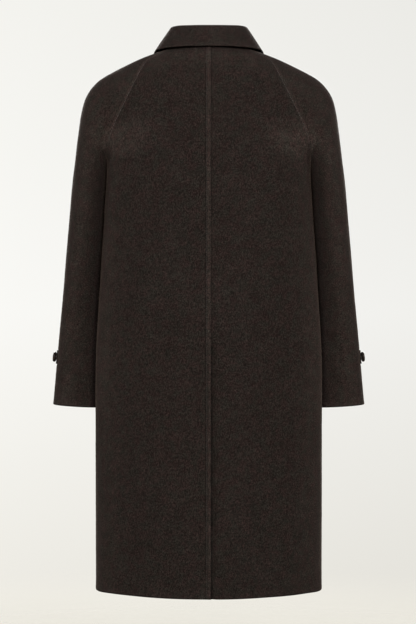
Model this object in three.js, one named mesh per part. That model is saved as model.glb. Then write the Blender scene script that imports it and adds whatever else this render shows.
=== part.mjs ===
// A wool coat with raglan sleeves and a turned-down collar, hollow and filled out as if worn.
// Millimetres, +Z up. The back faces -Y, the fastened front faces +Y, the wearer's right is +X.
// The origin is the middle of the neck base, where the shoulders carry the coat.
// Every piece is worked out on the wearer's right and mirrored for the left.
import * as THREE from 'three';

const CLOTH = 2.5; // thickness of one layer of cloth
const HALF_SEAM = 0.2; // each piece stops this far short of its seam line
const LAP_DROP = 3.5; // an under layer lies this far inside the layer that covers it
const FRONT_LAP = 30; // each front runs this far past the centre line
const BACK_LAP = 4.5; // the left back runs this far past the centre in the vent
const VENT_UNDERLAP = 36; // the right back runs this far under the left one in the vent
const VENT_TOP = -576; // height where the vent opens
const VENT_STEP = 8; // half the height in which the under layer sinks behind the other
const HEM = -1064; // height of the hem
const UNDERARM = -215; // height of the underarm point
const NECK_BACK = 13; // height of the neck seam at the centre back
const NECK_FRONT = -75; // height of the neck seam at the centre front
const SLEEVE_CLEAR = 1.5; // between the hanging sleeve and the side of the body
const OVAL = 4 / 3; // handle length of a half oval drawn with one curve, per unit of its depth
const ROW_BEND = 1.5; // how late a row of the body falls towards its seam; 1 falls evenly
const NUDGE = { height: 0.5, angle: 0.01, share: 0.01 }; // steps that find a direction

// Horizontal rings of the body: half width, depth behind and before the centre, squareness.
const BODY_RINGS = [
  { z: 22, half: 58, back: 66, front: 38, square: 2.0 },
  { z: 14, half: 75, back: 72, front: 42, square: 2.0 },
  { z: 4, half: 107, back: 78, front: 47, square: 2.0 },
  { z: -8, half: 139, back: 84, front: 51, square: 2.0 },
  { z: -24, half: 175, back: 91.5, front: 57, square: 2.0 },
  { z: -40, half: 205, back: 98.5, front: 65, square: 2.05 },
  { z: -56, half: 227, back: 104, front: 72, square: 2.15 },
  { z: -75, half: 240, back: 110, front: 80, square: 2.2 },
  { z: -95, half: 243, back: 115, front: 90, square: 2.35 },
  { z: -120, half: 234, back: 119, front: 102, square: 2.5 },
  { z: -150, half: 221, back: 124, front: 114, square: 2.75 },
  { z: -180, half: 210, back: 127.5, front: 124, square: 3.0 },
  { z: -215, half: 203, back: 130, front: 131, square: 3.2 },
  { z: -330, half: 208.5, back: 132, front: 136, square: 2.85 },
  { z: -450, half: 216.5, back: 134, front: 139, square: 2.6 },
  { z: -600, half: 225, back: 137, front: 142, square: 2.4 },
  { z: -760, half: 225.5, back: 138, front: 143, square: 2.35 },
  { z: -1064, half: 225, back: 140, front: 145, square: 2.3 },
];

// Raglan stations from the neck to the underarm: a point on the line along the top of the arm,
// one on each raglan seam, how sharply the sleeve turns back there, and the curve handles.
const RAGLAN = [
  { topX: 80, topZ: 12, backX: 70, backZ: 12.5, frontX: 62, frontZ: -22, fold: 0, over: 18, under: 17 },
  { topX: 107, topZ: 3, backX: 97, backZ: -1, frontX: 85, frontZ: -32, fold: 0, over: 19, under: 18 },
  { topX: 150, topZ: -14, backX: 127, backZ: -18, frontX: 112, frontZ: -52, fold: 0, over: 25, under: 23 },
  { topX: 190, topZ: -33, backX: 147, backZ: -56, frontX: 135, frontZ: -85, fold: 0, over: 38, under: 32 },
  { topX: 222, topZ: -53, backX: 163, backZ: -90, frontX: 155, frontZ: -120, fold: 0.05, over: 54, under: 43 },
  { topX: 243, topZ: -80, backX: 185, backZ: -136, frontX: 175, frontZ: -155, fold: 0.25, over: 76, under: 44 },
  { topX: 254, topZ: -115, backX: 197, backZ: -168, frontX: 190, frontZ: -180, fold: 0.6, over: 89, under: 40 },
  { topX: 261, topZ: -165, backX: 202, backZ: -195, frontX: 199, frontZ: -198, fold: 0.9, over: 101, under: 62 },
  { topX: 267, topZ: -215, backX: 203, backZ: -215, frontX: 203, frontZ: -215, fold: 1, over: 113, under: 113 },
];

// Rings of the hanging sleeve from the underarm to the cuff.
const SLEEVE_RINGS = [
  { outX: 267, outZ: -215, inZ: -215, outY: 0, inY: 0, depth: 85 },
  { outX: 272.5, outZ: -258, inZ: -262, outY: 3, inY: 15, depth: 82 },
  { outX: 278.5, outZ: -325, inZ: -331, outY: 8, inY: 26, depth: 78 },
  { outX: 285.5, outZ: -400, inZ: -407, outY: 14, inY: 36, depth: 74 },
  { outX: 292, outZ: -475, inZ: -483, outY: 21, inY: 46, depth: 69 },
  { outX: 299.5, outZ: -548, inZ: -556, outY: 29, inY: 54, depth: 64 },
  { outX: 306, outZ: -614, inZ: -622, outY: 36, inY: 61, depth: 60 },
  { outX: 310, outZ: -658, inZ: -666, outY: 40, inY: 65, depth: 58.5 },
  { outX: 314, outZ: -699.5, inZ: -706.5, outY: 44, inY: 68, depth: 57.5 },
];

// Collar from the centre back to the centre front: the fold at the top and the edge of the fall.
const COLLAR = [
  { at: 0, foldX: 0, foldY: -64, foldZ: 52, edgeX: 0, edgeY: -88, edgeZ: 9 },
  { at: 0.15, foldX: 36, foldY: -57, foldZ: 53, edgeX: 50, edgeY: -81, edgeZ: 9 },
  { at: 0.3, foldX: 64, foldY: -36, foldZ: 55, edgeX: 90, edgeY: -50, edgeZ: 9 },
  { at: 0.43, foldX: 76, foldY: -1, foldZ: 54, edgeX: 107, edgeY: -3, edgeZ: 9 },
  { at: 0.56, foldX: 73, foldY: 29, foldZ: 33, edgeX: 110, edgeY: 37, edgeZ: -7 },
  { at: 0.68, foldX: 62, foldY: 50, foldZ: 4, edgeX: 102, edgeY: 67, edgeZ: -42 },
  { at: 0.84, foldX: 36, foldY: 68, foldZ: -30, edgeX: 77, edgeY: 94, edgeZ: -89 },
  { at: 1, foldX: 5, foldY: 77, foldZ: -50, edgeX: 46, edgeY: 114, edgeZ: -135 },
];
// The roll of the fold, seen in section: out from the fold line and up from it.
const ROLL = [
  { out: -5.5, up: -5 },
  { out: -3.8, up: -1 },
  { out: 0.8, up: 0 },
  { out: 5, up: -4.5 },
];
const STAND_TOP = { out: -3, up: -6.1 }; // top of the stand, under the start of the roll
const FALL_STEPS = [0.5, 1]; // rows of the fall from the roll to its edge
const FALL_BOW = { depth: 2, out: 1, up: 0.5 }; // how far and which way the fall bows out
const STAND_LIFT = 0.6; // the stand begins this far above the neck seam
const COLLAR_END = 1.5; // each end of the collar stops this far from the centre front

const CUFF_BUTTON = { radius: 9.5, height: 4.2 };
const FRONT_BUTTON = { radius: 12.5, height: 4.5 };
const BUTTON_RIM = 1.2; // width of the rounded rim
const BUTTON_LIP = 1.8; // width of the slope from the rim down to the dished face
const BUTTON_DISH = 0.7; // depth of the dished face
const BUTTON_SIDES = 14;
const BUTTON_GAP = 0.35; // between a button and the cloth under it
const FRONT_BUTTONS = { count: 5, top: -112, spacing: 134 };
const TAB_GAP = 0.5; // between the cuff tab and the sleeve
const TAB = { top: -589, bottom: -617, frontColumns: 3, backReach: 0.55 };

const ARCH_STATIONS = [0, 1, 2, 2.5, 3, 3.5, 4, 5, 6.1, 7, 8]; // rows along the raglan seam
const VENT_MOUTH = VENT_TOP - VENT_STEP - 1.5; // from here down the backs have their lapped edges
const LEVELS = [-277, -347, -428, -508, VENT_TOP + VENT_STEP, VENT_TOP - VENT_STEP, VENT_MOUTH,
  -663, -742, -823, -901, -983, HEM]; // rows of the body below the underarm
const BACK_OVER = [0, 12, 36]; // first columns of the left back, across from its edge
const BACK_UNDER = [0, 6, 12, 36]; // first columns of the right back
const FRONT_NEAR = [-FRONT_LAP, 0, FRONT_LAP]; // first columns of a front
const COVERED = [0, 1, 2]; // columns of the right pieces that lie under the left ones
const ROUND_COLUMNS = 6; // columns from there round to the seam
const SLEEVE_COLUMNS = 7;
const RING_SAMPLES = [0.5, 0.55, 0.6, 0.65, 0.7, 0.75, 0.8, 0.85, 0.9, 0.95, 1]; // inner half of a ring

const WOOL = { color: 0x2b2420, roughness: 0.95, metalness: 0 };
const HORN = { color: 0x14100e, roughness: 0.4, metalness: 0 };

// Smooth value of one column of a table at a position, from the four rows around it.
function smooth(table, key, column, at) {
  const rising = table[table.length - 1][key] > table[0][key];
  let i = 0;
  while (i < table.length - 2 && (rising ? at > table[i + 1][key] : at < table[i + 1][key])) i += 1;
  const slope = (j) => {
    const a = table[Math.max(j - 1, 0)];
    const b = table[Math.min(j + 1, table.length - 1)];
    return (b[column] - a[column]) / (b[key] - a[key]);
  };
  const span = table[i + 1][key] - table[i][key];
  const t = (at - table[i][key]) / span;
  return hermite(table[i][column], table[i + 1][column], slope(i) * span, slope(i + 1) * span, t);
}

function hermite(a, b, slopeA, slopeB, t) {
  const t2 = t * t;
  const t3 = t2 * t;
  const values = a * (2 * t3 - 3 * t2 + 1) + b * (3 * t2 - 2 * t3);
  return values + slopeA * (t3 - 2 * t2 + t) + slopeB * (t3 - t2);
}

const withIndex = (table) => table.map((row, index) => ({ ...row, index }));
const raglanRows = withIndex(RAGLAN);
const sleeveRows = withIndex(SLEEVE_RINGS);
const raglan = (column, station) => smooth(raglanRows, 'index', column, station);
const sleeveRing = (column, ring) => smooth(sleeveRows, 'index', column, ring);
const lastStation = RAGLAN.length - 1;
const lastRing = SLEEVE_RINGS.length - 1;

// A point of the body. side is -1 behind and 1 before, the angle is 0 at the centre line.
function bodyPoint(z, angle, side) {
  const power = 2 / smooth(BODY_RINGS, 'z', 'square', z);
  const depth = smooth(BODY_RINGS, 'z', side < 0 ? 'back' : 'front', z);
  const across = Math.sign(angle) * Math.abs(Math.sin(angle)) ** power;
  const along = Math.max(Math.cos(angle), 0) ** power;
  return new THREE.Vector3(smooth(BODY_RINGS, 'z', 'half', z) * across, side * depth * along, z);
}

// The angle of the body point that lies x from the centre plane.
function bodyAngle(z, x) {
  const share = Math.min(Math.abs(x) / smooth(BODY_RINGS, 'z', 'half', z), 1);
  return Math.sign(x) * Math.asin(share ** (smooth(BODY_RINGS, 'z', 'square', z) / 2));
}

function seamAngle(station, side) {
  if (station >= lastStation) return Math.PI / 2;
  const name = side < 0 ? 'back' : 'front';
  return bodyAngle(raglan(`${name}Z`, station), raglan(`${name}X`, station));
}

const seamHeight = (station, side) => raglan(side < 0 ? 'backZ' : 'frontZ', station);

// Half width of the body at a height, at a depth before its centre.
function sideOfBody(z, y) {
  const square = smooth(BODY_RINGS, 'z', 'square', z);
  const share = Math.min(Math.abs(y) / smooth(BODY_RINGS, 'z', 'front', z), 1);
  return smooth(BODY_RINGS, 'z', 'half', z) * (1 - share ** square) ** (1 / square);
}

// One row of a body panel. Near columns are given across from the centre, the rest go round.
function bodyRow(side, near, zCentre, zSeam, endAngle) {
  const lastNear = bodyAngle(zCentre, near[near.length - 1]);
  const angles = near.map((x) => bodyAngle(zCentre, x));
  for (let i = 1; i <= ROUND_COLUMNS; i += 1) {
    angles.push(lastNear + ((endAngle - lastNear) * i) / ROUND_COLUMNS);
  }
  return angles.map((angle) => {
    const share = Math.max(angle / endAngle, 0);
    return bodyPoint(zCentre + (zSeam - zCentre) * share ** ROW_BEND, angle, side);
  });
}

// All rows of a body panel: along the raglan seam first, then down the side seam to the hem.
function bodyGrid(side, nearAt) {
  const zNeck = side < 0 ? NECK_BACK : NECK_FRONT;
  const seamTop = seamHeight(0, side);
  const rows = ARCH_STATIONS.map((station) => {
    const zSeam = seamHeight(station, side);
    const done = (seamTop - zSeam) / (seamTop - UNDERARM);
    const zCentre = zNeck + (UNDERARM - zNeck) * done;
    return bodyRow(side, nearAt(zCentre), zCentre, zSeam, seamAngle(station, side));
  });
  LEVELS.forEach((z) => rows.push(bodyRow(side, nearAt(z), z, z, Math.PI / 2)));
  return rows;
}

// Where a sleeve meets the body at a station.
const seamPoint = (station, side) => bodyPoint(seamHeight(station, side), seamAngle(station, side), side);

// Direction in which a sleeve leaves its seam: on over the body, or folded back under the arm.
function seamLead(station, side, start, top) {
  const z = seamHeight(station, side);
  const angle = seamAngle(station, side);
  const up = bodyPoint(z + NUDGE.height, angle, side).sub(start);
  const round = bodyPoint(z, angle - NUDGE.angle, side).sub(start);
  const normal = up.cross(round).normalize();
  const lead = top.clone().sub(start);
  lead.addScaledVector(normal, -lead.dot(normal)).normalize();
  const fold = raglan('fold', station);
  return lead.multiplyScalar(1 - fold).add(new THREE.Vector3(0, side * fold, 0)).normalize();
}

function bezier(a, b, c, d, t) {
  const s = 1 - t;
  return a.clone().multiplyScalar(s * s * s).addScaledVector(b, 3 * s * s * t)
    .addScaledVector(c, 3 * s * t * t).addScaledVector(d, t * t * t);
}

const curveRow = (a, b, c, d) => Array.from({ length: SLEEVE_COLUMNS + 1 }, (_, i) => (
  bezier(a, b, c, d, i / SLEEVE_COLUMNS)));

// One row of a sleeve half over the shoulder, from the top of the arm to the raglan seam.
function archRow(station, side) {
  const top = new THREE.Vector3(raglan('topX', station), 0, raglan('topZ', station));
  const seam = seamPoint(station, side);
  const straightOut = new THREE.Vector3(0, side, 0);
  const lead = station >= lastStation ? straightOut : seamLead(station, side, seam, top);
  const over = top.clone().addScaledVector(straightOut, raglan('over', station));
  return curveRow(top, over, seam.clone().addScaledVector(lead, raglan('under', station)), seam);
}

// How far out the inner line of a hanging sleeve is, so that its whole ring just clears the body.
function innerX(outX, outY, inY, z, reach) {
  const needs = [];
  RING_SAMPLES.forEach((t) => {
    const inShare = t * t * (3 - 2 * t);
    const y = outY + (inY - outY) * inShare;
    [-1, 1].forEach((side) => {
      const edge = sideOfBody(z, y + side * 3 * t * (1 - t) * reach) + SLEEVE_CLEAR;
      needs.push((edge - outX * (1 - inShare)) / inShare);
    });
  });
  return Math.max(...needs);
}

// One row of a sleeve half below the underarm, from the outer line to the inner one.
function tubeRow(ring, side) {
  const [outX, outY, outZ] = ['outX', 'outY', 'outZ'].map((name) => sleeveRing(name, ring));
  const [inY, inZ] = ['inY', 'inZ'].map((name) => sleeveRing(name, ring));
  const reach = OVAL * sleeveRing('depth', ring);
  const away = new THREE.Vector3(0, side * reach, 0);
  const outer = new THREE.Vector3(outX, outY, outZ);
  const inner = new THREE.Vector3(innerX(outX, outY, inY, inZ, reach), inY, inZ);
  return curveRow(outer, outer.clone().add(away), inner.clone().add(away), inner);
}

function sleeveGrid(side) {
  const rows = ARCH_STATIONS.map((station) => archRow(station, side));
  for (let ring = 1; ring <= lastRing; ring += 1) rows.push(tubeRow(ring, side));
  return rows;
}

// Outward directions at the points of a grid, from its neighbours in both ways.
function normalsOf(grid, outward) {
  return grid.map((row, i) => row.map((point, j) => {
    const down = grid[Math.min(i + 1, grid.length - 1)][j].clone().sub(grid[Math.max(i - 1, 0)][j]);
    const across = row[Math.min(j + 1, row.length - 1)].clone().sub(row[Math.max(j - 1, 0)]);
    return across.cross(down).multiplyScalar(outward).normalize();
  }));
}

const sheetOf = (points, outward) => ({ points, normals: normalsOf(points, outward) });

// Two sheets that meet share the direction of their cut edges there.
function share(a, rowA, columnA, b, rowB, columnB) {
  const mean = a.normals[rowA][columnA].clone().add(b.normals[rowB][columnB]).normalize();
  a.normals[rowA][columnA].copy(mean);
  b.normals[rowB][columnB].copy(mean);
}

const lastOf = (list) => list.length - 1;
const apexRow = lastOf(ARCH_STATIONS);

// The four sheets of one side, with their seams matched. near gives the first columns.
function sideSheets(backNear, frontNear) {
  const back = sheetOf(bodyGrid(-1, backNear), -1);
  const front = sheetOf(bodyGrid(1, frontNear), 1);
  const sleeveBack = sheetOf(sleeveGrid(-1), 1);
  const sleeveFront = sheetOf(sleeveGrid(1), -1);
  const backEdge = lastOf(back.points[0]);
  const frontEdge = lastOf(front.points[0]);
  for (let i = 0; i < apexRow; i += 1) {
    share(back, i, backEdge, sleeveBack, i, SLEEVE_COLUMNS);
    share(front, i, frontEdge, sleeveFront, i, SLEEVE_COLUMNS);
  }
  for (let i = apexRow + 1; i < back.points.length; i += 1) {
    share(back, i, backEdge, front, i, frontEdge);
  }
  sleeveBack.points.forEach((_, i) => share(sleeveBack, i, 0, sleeveFront, i, 0));
  for (let i = apexRow + 1; i < sleeveBack.points.length; i += 1) {
    share(sleeveBack, i, SLEEVE_COLUMNS, sleeveFront, i, SLEEVE_COLUMNS);
  }
  [[back, backEdge], [front, frontEdge], [sleeveBack, SLEEVE_COLUMNS], [sleeveFront, SLEEVE_COLUMNS]]
    .forEach(([sheet, column]) => sheet.normals[apexRow][column].set(0, 0, -1));
  back.normals.forEach((row) => row[0].setX(0).normalize());
  return { back, front, sleeveBack, sleeveFront };
}

function moveColumn(sheet, column, from, to, x, y) {
  for (let i = from; i <= to; i += 1) sheet.points[i][column].add(new THREE.Vector3(x, y, 0));
}

// Draws the pieces back from their seam lines, so that none touches its neighbour.
function openSeams({ back, front, sleeveBack, sleeveFront }) {
  const backEdge = lastOf(back.points[0]);
  const frontEdge = lastOf(front.points[0]);
  const hem = lastOf(back.points);
  const cuff = lastOf(sleeveBack.points);
  moveColumn(back, 0, 0, hem, HALF_SEAM, 0);
  moveColumn(back, backEdge, 0, apexRow, -HALF_SEAM, 0);
  moveColumn(front, frontEdge, 0, apexRow, -HALF_SEAM, 0);
  moveColumn(sleeveBack, SLEEVE_COLUMNS, 0, apexRow, HALF_SEAM, 0);
  moveColumn(sleeveFront, SLEEVE_COLUMNS, 0, apexRow, HALF_SEAM, 0);
  moveColumn(back, backEdge, apexRow, hem, 0, -HALF_SEAM);
  moveColumn(front, frontEdge, apexRow, hem, 0, HALF_SEAM);
  moveColumn(sleeveBack, 0, 0, cuff, 0, -HALF_SEAM);
  moveColumn(sleeveFront, 0, 0, cuff, 0, HALF_SEAM);
  moveColumn(sleeveBack, SLEEVE_COLUMNS, apexRow, cuff, 0, -HALF_SEAM);
  moveColumn(sleeveFront, SLEEVE_COLUMNS, apexRow, cuff, 0, HALF_SEAM);
}

// Sinks some columns of a sheet below its surface, where another layer covers them.
function sink(sheet, columns, inRow) {
  sheet.points.forEach((row, i) => {
    if (!inRow(row[0].z)) return;
    columns.forEach((j) => row[j].addScaledVector(sheet.normals[i][j], -LAP_DROP));
  });
}

// A closed wall: the sheet's points outside, the same points moved in, and a rim all round.
function wall(sheet, thickness, mirrored) {
  const rows = sheet.points.length;
  const columns = sheet.points[0].length;
  const flip = mirrored ? -1 : 1;
  const positions = [];
  [0, -thickness].forEach((depth) => sheet.points.forEach((row, i) => row.forEach((point, j) => {
    const moved = point.clone().addScaledVector(sheet.normals[i][j], depth);
    positions.push(moved.x * flip, moved.y, moved.z);
  })));
  const outer = (i, j) => i * columns + j;
  const inner = (i, j) => rows * columns + outer(i, j);
  const last = columns - 1;
  const faces = [];
  const quad = (a, b, c, d) => faces.push([a, b, c], [a, c, d]);
  for (let j = 0; j < columns - 1; j += 1) {
    quad(outer(0, j), inner(0, j), inner(0, j + 1), outer(0, j + 1));
    quad(outer(rows - 1, j + 1), inner(rows - 1, j + 1), inner(rows - 1, j), outer(rows - 1, j));
  }
  for (let i = 0; i < rows - 1; i += 1) {
    quad(outer(i + 1, 0), inner(i + 1, 0), inner(i, 0), outer(i, 0));
    for (let j = 0; j < columns - 1; j += 1) {
      quad(outer(i, j), outer(i, j + 1), outer(i + 1, j + 1), outer(i + 1, j));
      quad(inner(i + 1, j), inner(i + 1, j + 1), inner(i, j + 1), inner(i, j));
    }
    quad(outer(i, last), inner(i, last), inner(i + 1, last), outer(i + 1, last));
  }
  return solid(positions, faces);
}

// The geometry of a closed body, turned so that its faces point out.
function solid(positions, faces) {
  const at = (n) => new THREE.Vector3(positions[3 * n], positions[3 * n + 1], positions[3 * n + 2]);
  const volume = faces.reduce((sum, [a, b, c]) => sum + at(a).dot(at(b).cross(at(c))), 0);
  const order = volume < 0 ? faces.map(([a, b, c]) => [a, c, b]) : faces;
  const geometry = new THREE.BufferGeometry();
  geometry.setAttribute('position', new THREE.Float32BufferAttribute(positions, 3));
  geometry.setIndex(order.flat());
  geometry.computeVertexNormals();
  return geometry;
}

// The neck seam from the centre back, over the shoulder, to the centre front.
function neckLine({ back, front, sleeveBack, sleeveFront }, backColumns, frontColumns) {
  const line = backColumns.map((j) => back.points[0][j]);
  for (let j = SLEEVE_COLUMNS - 1; j > 0; j -= 1) line.push(sleeveBack.points[0][j]);
  line.push(...sleeveFront.points[0].slice(0, SLEEVE_COLUMNS));
  for (let i = lastOf(frontColumns); i >= 0; i -= 1) line.push(front.points[0][frontColumns[i]]);
  return line.map((point) => point.clone());
}

// How far along a line each of its points is, from 0 to 1.
function progress(line) {
  const run = [0];
  for (let i = 1; i < line.length; i += 1) run.push(run[i - 1] + line[i].distanceTo(line[i - 1]));
  return run.map((length) => length / run[run.length - 1]);
}

const collarValue = (column, at) => smooth(COLLAR, 'at', column, at);
const collarPoint = (name, at) => new THREE.Vector3(
  collarValue(`${name}X`, at), collarValue(`${name}Y`, at), collarValue(`${name}Z`, at));

// The fold of the collar, with the directions out from it and up from it.
function foldFrame(at) {
  const ahead = collarPoint('fold', Math.min(at + NUDGE.share, 1));
  const run = ahead.sub(collarPoint('fold', Math.max(at - NUDGE.share, 0)));
  if (at === 0) run.set(1, 0, 0);
  const out = run.clone().cross(new THREE.Vector3(0, 0, 1)).normalize();
  const up = out.clone().cross(run).normalize();
  return { fold: collarPoint('fold', at), out, up };
}

const offFold = ({ fold, out, up }, step) => (
  fold.clone().addScaledVector(out, step.out).addScaledVector(up, step.up));

// The section of the fall at one place: over the roll, then down to its edge.
function fallSection(at) {
  const frame = foldFrame(at);
  const section = ROLL.map((step) => offFold(frame, step));
  const start = section[lastOf(section)];
  const edge = collarPoint('edge', at);
  const bow = frame.out.clone().multiplyScalar(FALL_BOW.out).addScaledVector(frame.up, FALL_BOW.up);
  FALL_STEPS.forEach((step) => {
    const point = start.clone().lerp(edge, step);
    section.push(point.addScaledVector(bow, FALL_BOW.depth * Math.sin(Math.PI * step) / bow.length()));
  });
  return section;
}

const mirror = (point) => new THREE.Vector3(-point.x, point.y, point.z);

// Both collar pieces as grids from the left front end, round the back, to the right front end.
function collarGrids(line) {
  const places = progress(line);
  const stand = [];
  const fall = [];
  line.forEach((point, i) => {
    const top = offFold(foldFrame(places[i]), STAND_TOP);
    const foot = point.clone().add(new THREE.Vector3(0, 0, STAND_LIFT));
    if (i === lastOf(line)) foot.setX(COLLAR_END);
    if (i === 0) foot.setX(0);
    stand.push([top, foot]);
    fall.push(fallSection(places[i]));
  });
  const both = (half) => [...half.slice(1).reverse().map((row) => row.map(mirror)), ...half];
  return { stand: both(stand), fall: both(fall) };
}

// A round button that stands on a point of the cloth, with a rounded rim and a dished face.
function button({ radius, height }, point, direction) {
  const flat = radius - BUTTON_RIM;
  const profile = [
    [0, 0], [flat, 0], [radius, BUTTON_RIM], [radius, height - BUTTON_RIM], [flat, height],
    [flat - BUTTON_LIP, height - BUTTON_DISH], [0, height - BUTTON_DISH],
  ];
  const geometry = new THREE.LatheGeometry(profile.map(([r, h]) => new THREE.Vector2(r, h)), BUTTON_SIDES);
  const mesh = new THREE.Mesh(geometry, new THREE.MeshStandardMaterial(HORN));
  mesh.quaternion.setFromUnitVectors(new THREE.Vector3(0, 1, 0), direction);
  mesh.position.copy(point).addScaledVector(direction, BUTTON_GAP);
  return mesh;
}

// The point and direction of a sheet at a height along one of its columns.
function atHeight(sheet, column, z) {
  const low = sheet.points.findIndex((row) => row[column].z <= z);
  const a = sheet.points[low - 1][column];
  const b = sheet.points[low][column];
  const t = (a.z - z) / (a.z - b.z);
  const normal = sheet.normals[low - 1][column].clone().lerp(sheet.normals[low][column], t).normalize();
  return { point: a.clone().lerp(b, t), normal };
}

// The strap round the cuff: points of the sleeve itself, moved out.
function cuffTab({ sleeveBack, sleeveFront }) {
  const rows = [TAB.top, TAB.bottom].map((z) => {
    const row = [];
    for (let j = TAB.frontColumns; j > 0; j -= 1) row.push(atHeight(sleeveFront, j, z));
    const middle = atHeight(sleeveBack, 0, z);
    const next = atHeight(sleeveBack, 1, z);
    middle.point.setY(middle.point.y + HALF_SEAM);
    row.push(middle, { point: middle.point.clone().lerp(next.point, TAB.backReach), normal: next.normal });
    return row;
  });
  const lift = CLOTH + TAB_GAP;
  return {
    points: rows.map((row) => row.map(({ point, normal }) => point.clone().addScaledVector(normal, lift))),
    normals: rows.map((row) => row.map(({ normal }) => normal)),
  };
}

const coat = new THREE.Group();

function add(name, mesh) {
  mesh.name = name;
  coat.add(mesh);
}

const cloth = (name, sheet, mirrored) => add(name, new THREE.Mesh(
  wall(sheet, CLOTH, mirrored), new THREE.MeshStandardMaterial(WOOL)));

const overVent = (z) => (z <= VENT_MOUTH ? [-BACK_LAP, ...BACK_OVER.slice(1)] : BACK_OVER);
const underVent = (z) => (
  z <= VENT_MOUTH ? [-VENT_UNDERLAP, -BACK_OVER[1], BACK_OVER[1], BACK_OVER[2]] : BACK_UNDER);
const overFront = () => FRONT_NEAR;

const left = sideSheets(overVent, overFront);
const right = sideSheets(underVent, overFront);
const neckAtBack = right.back.points[0].map((_, j) => j).filter((j) => j !== 1);
const neckAtFront = right.front.points[0].map((_, j) => j).slice(1);
const neck = neckLine(right, neckAtBack, neckAtFront);
openSeams(left);
openSeams(right);
sink(right.back, COVERED, (z) => z < VENT_TOP);
sink(right.front, COVERED, () => true);

[[left, 'left', true], [right, 'right', false]].forEach(([side, word, mirrored]) => {
  cloth(`back_${word}`, side.back, mirrored);
  cloth(`front_${word}`, side.front, mirrored);
  cloth(`sleeve_${word}_back`, side.sleeveBack, mirrored);
  cloth(`sleeve_${word}_front`, side.sleeveFront, mirrored);
  const tab = cuffTab(side);
  cloth(`cuff_tab_${word}`, tab, mirrored);
  const middle = TAB.frontColumns;
  const point = tab.points[0][middle].clone().lerp(tab.points[1][middle], 0.5);
  const direction = tab.normals[0][middle].clone();
  const place = mirrored ? mirror : (vector) => vector;
  add(`cuff_button_${word}`, button(CUFF_BUTTON, place(point), place(direction)));
});

const collar = collarGrids(neck);
cloth('collar_stand', sheetOf(collar.stand, -1), false);
cloth('collar_fall', sheetOf(collar.fall, 1), false);

for (let n = 0; n < FRONT_BUTTONS.count; n += 1) {
  const { point, normal } = atHeight(left.front, 1, FRONT_BUTTONS.top - n * FRONT_BUTTONS.spacing);
  add(`front_button_${n + 1}`, button(FRONT_BUTTON, mirror(point), mirror(normal.setX(0).normalize())));
}

export default coat;
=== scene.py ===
"""A knee-length wool coat with raglan sleeves, seen from behind, hollow and filled out as if worn.

The back faces -Y, the fastened front faces +Y and the wearer's right is +X. The cloth is worked
out in millimetres from the same rings, seams and collar as the solid part, and made in metres.
Every panel is one thin shell of cloth with rounded edges, and the left ones are mirrored.
"""

import math

import bmesh
import bpy
import numpy as np
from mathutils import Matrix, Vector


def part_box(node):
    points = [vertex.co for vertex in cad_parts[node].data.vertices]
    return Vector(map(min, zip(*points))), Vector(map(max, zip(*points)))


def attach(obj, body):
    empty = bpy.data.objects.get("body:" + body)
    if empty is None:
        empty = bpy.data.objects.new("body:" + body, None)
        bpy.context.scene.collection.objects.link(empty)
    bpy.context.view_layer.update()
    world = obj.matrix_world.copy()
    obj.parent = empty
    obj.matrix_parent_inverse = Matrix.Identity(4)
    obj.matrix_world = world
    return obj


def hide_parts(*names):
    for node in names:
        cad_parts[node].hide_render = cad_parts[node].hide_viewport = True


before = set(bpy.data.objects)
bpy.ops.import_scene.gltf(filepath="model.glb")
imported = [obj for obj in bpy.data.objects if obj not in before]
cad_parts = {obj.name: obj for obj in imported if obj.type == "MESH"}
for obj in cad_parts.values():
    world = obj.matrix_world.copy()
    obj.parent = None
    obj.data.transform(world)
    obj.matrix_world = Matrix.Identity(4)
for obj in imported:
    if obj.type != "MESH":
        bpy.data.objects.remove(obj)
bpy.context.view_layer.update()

MM = 0.001

# The cut, in millimetres.
CLOTH = 2.3  # thickness of one layer
FALL_CLOTH = 2.5
EDGE = 1.15  # how far from its border a layer starts to round off
SEAM_BITE = 0.6  # how far neighbours reach into each other at a seam
HEM = -1064.0
UNDERARM = -215.0
NECK_BACK = 13.0
NECK_FRONT = -75.0
VENT_TOP = -576.0
VENT_BLEND = 14.0  # half the height in which the seam opens into the vent
BACK_LAP = 4.4  # the left back runs this far past the centre, all the way down
BACK_UNDERLAP = 3.0  # the right back runs this far under it above the vent
VENT_UNDERLAP = 36.0
FRONT_LAP = 30.0
LAP_DROP = 4.2  # depth of an under layer at a free edge
SEWN_DROP = 2.5  # depth of an under layer where the edge over it is sewn down
SLEEVE_CLEAR = -0.4  # how far a hanging sleeve stays off the body; below 0 its nap touches
OVAL = 4 / 3  # length of a half ring's handles, as a share of its depth
ROW_BEND = 1.5  # above 1, a row of the body turns up to the raglan seam late
COLLAR_HALF = 330.0  # about half the length of the collar's fold
COLLAR_END = 1.5  # least distance of the stand's foot from the centre front
STAND_LIFT = 0.6
STAND_END = 0.4  # half the gap between the ends of the stand at the centre front

# Sewing and spacing, in millimetres.
BACK_BAND = 8.4  # width of the band along the centre back and the vent
RAGLAN_BAND = 5.2
FRONT_BAND = 8.0
ARM_BAND = 5.2
COLLAR_BAND = 6.0
LAP_REACH = 46  # how far in the columns of a lapped border stay close
HEM_FOLD = 38.0  # height of the turned-up hem
CUFF_FOLD = 34.0
HEM_ROLL = 0.25  # how far the turned edge of the hem swells
CUFF_ROLL = 0.3
HEM_HANG = {"centre": -1.9, "sides": 1.4}  # how far the hem of the back hangs from level
VENT_CURL = 0.9  # how far the free edge of the vent lifts
VENT_STAY = {"x": -3, "z": -572, "length": 52, "depth": 0.3, "width": 1.2, "slope": math.radians(30)}
BAND_RISE = 0.75  # how far a band of folded cloth stands up
STITCH = {"pitch": 3.6, "length": 2.5, "radius": 0.24}
GROOVE = {"depth": 0.42, "width": 0.75}
HOLE = {"start": -3.0, "stop": 22.0, "pitch": 0.55, "slit": 0.3, "bite": 1.9, "radius": 0.33}


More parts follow.
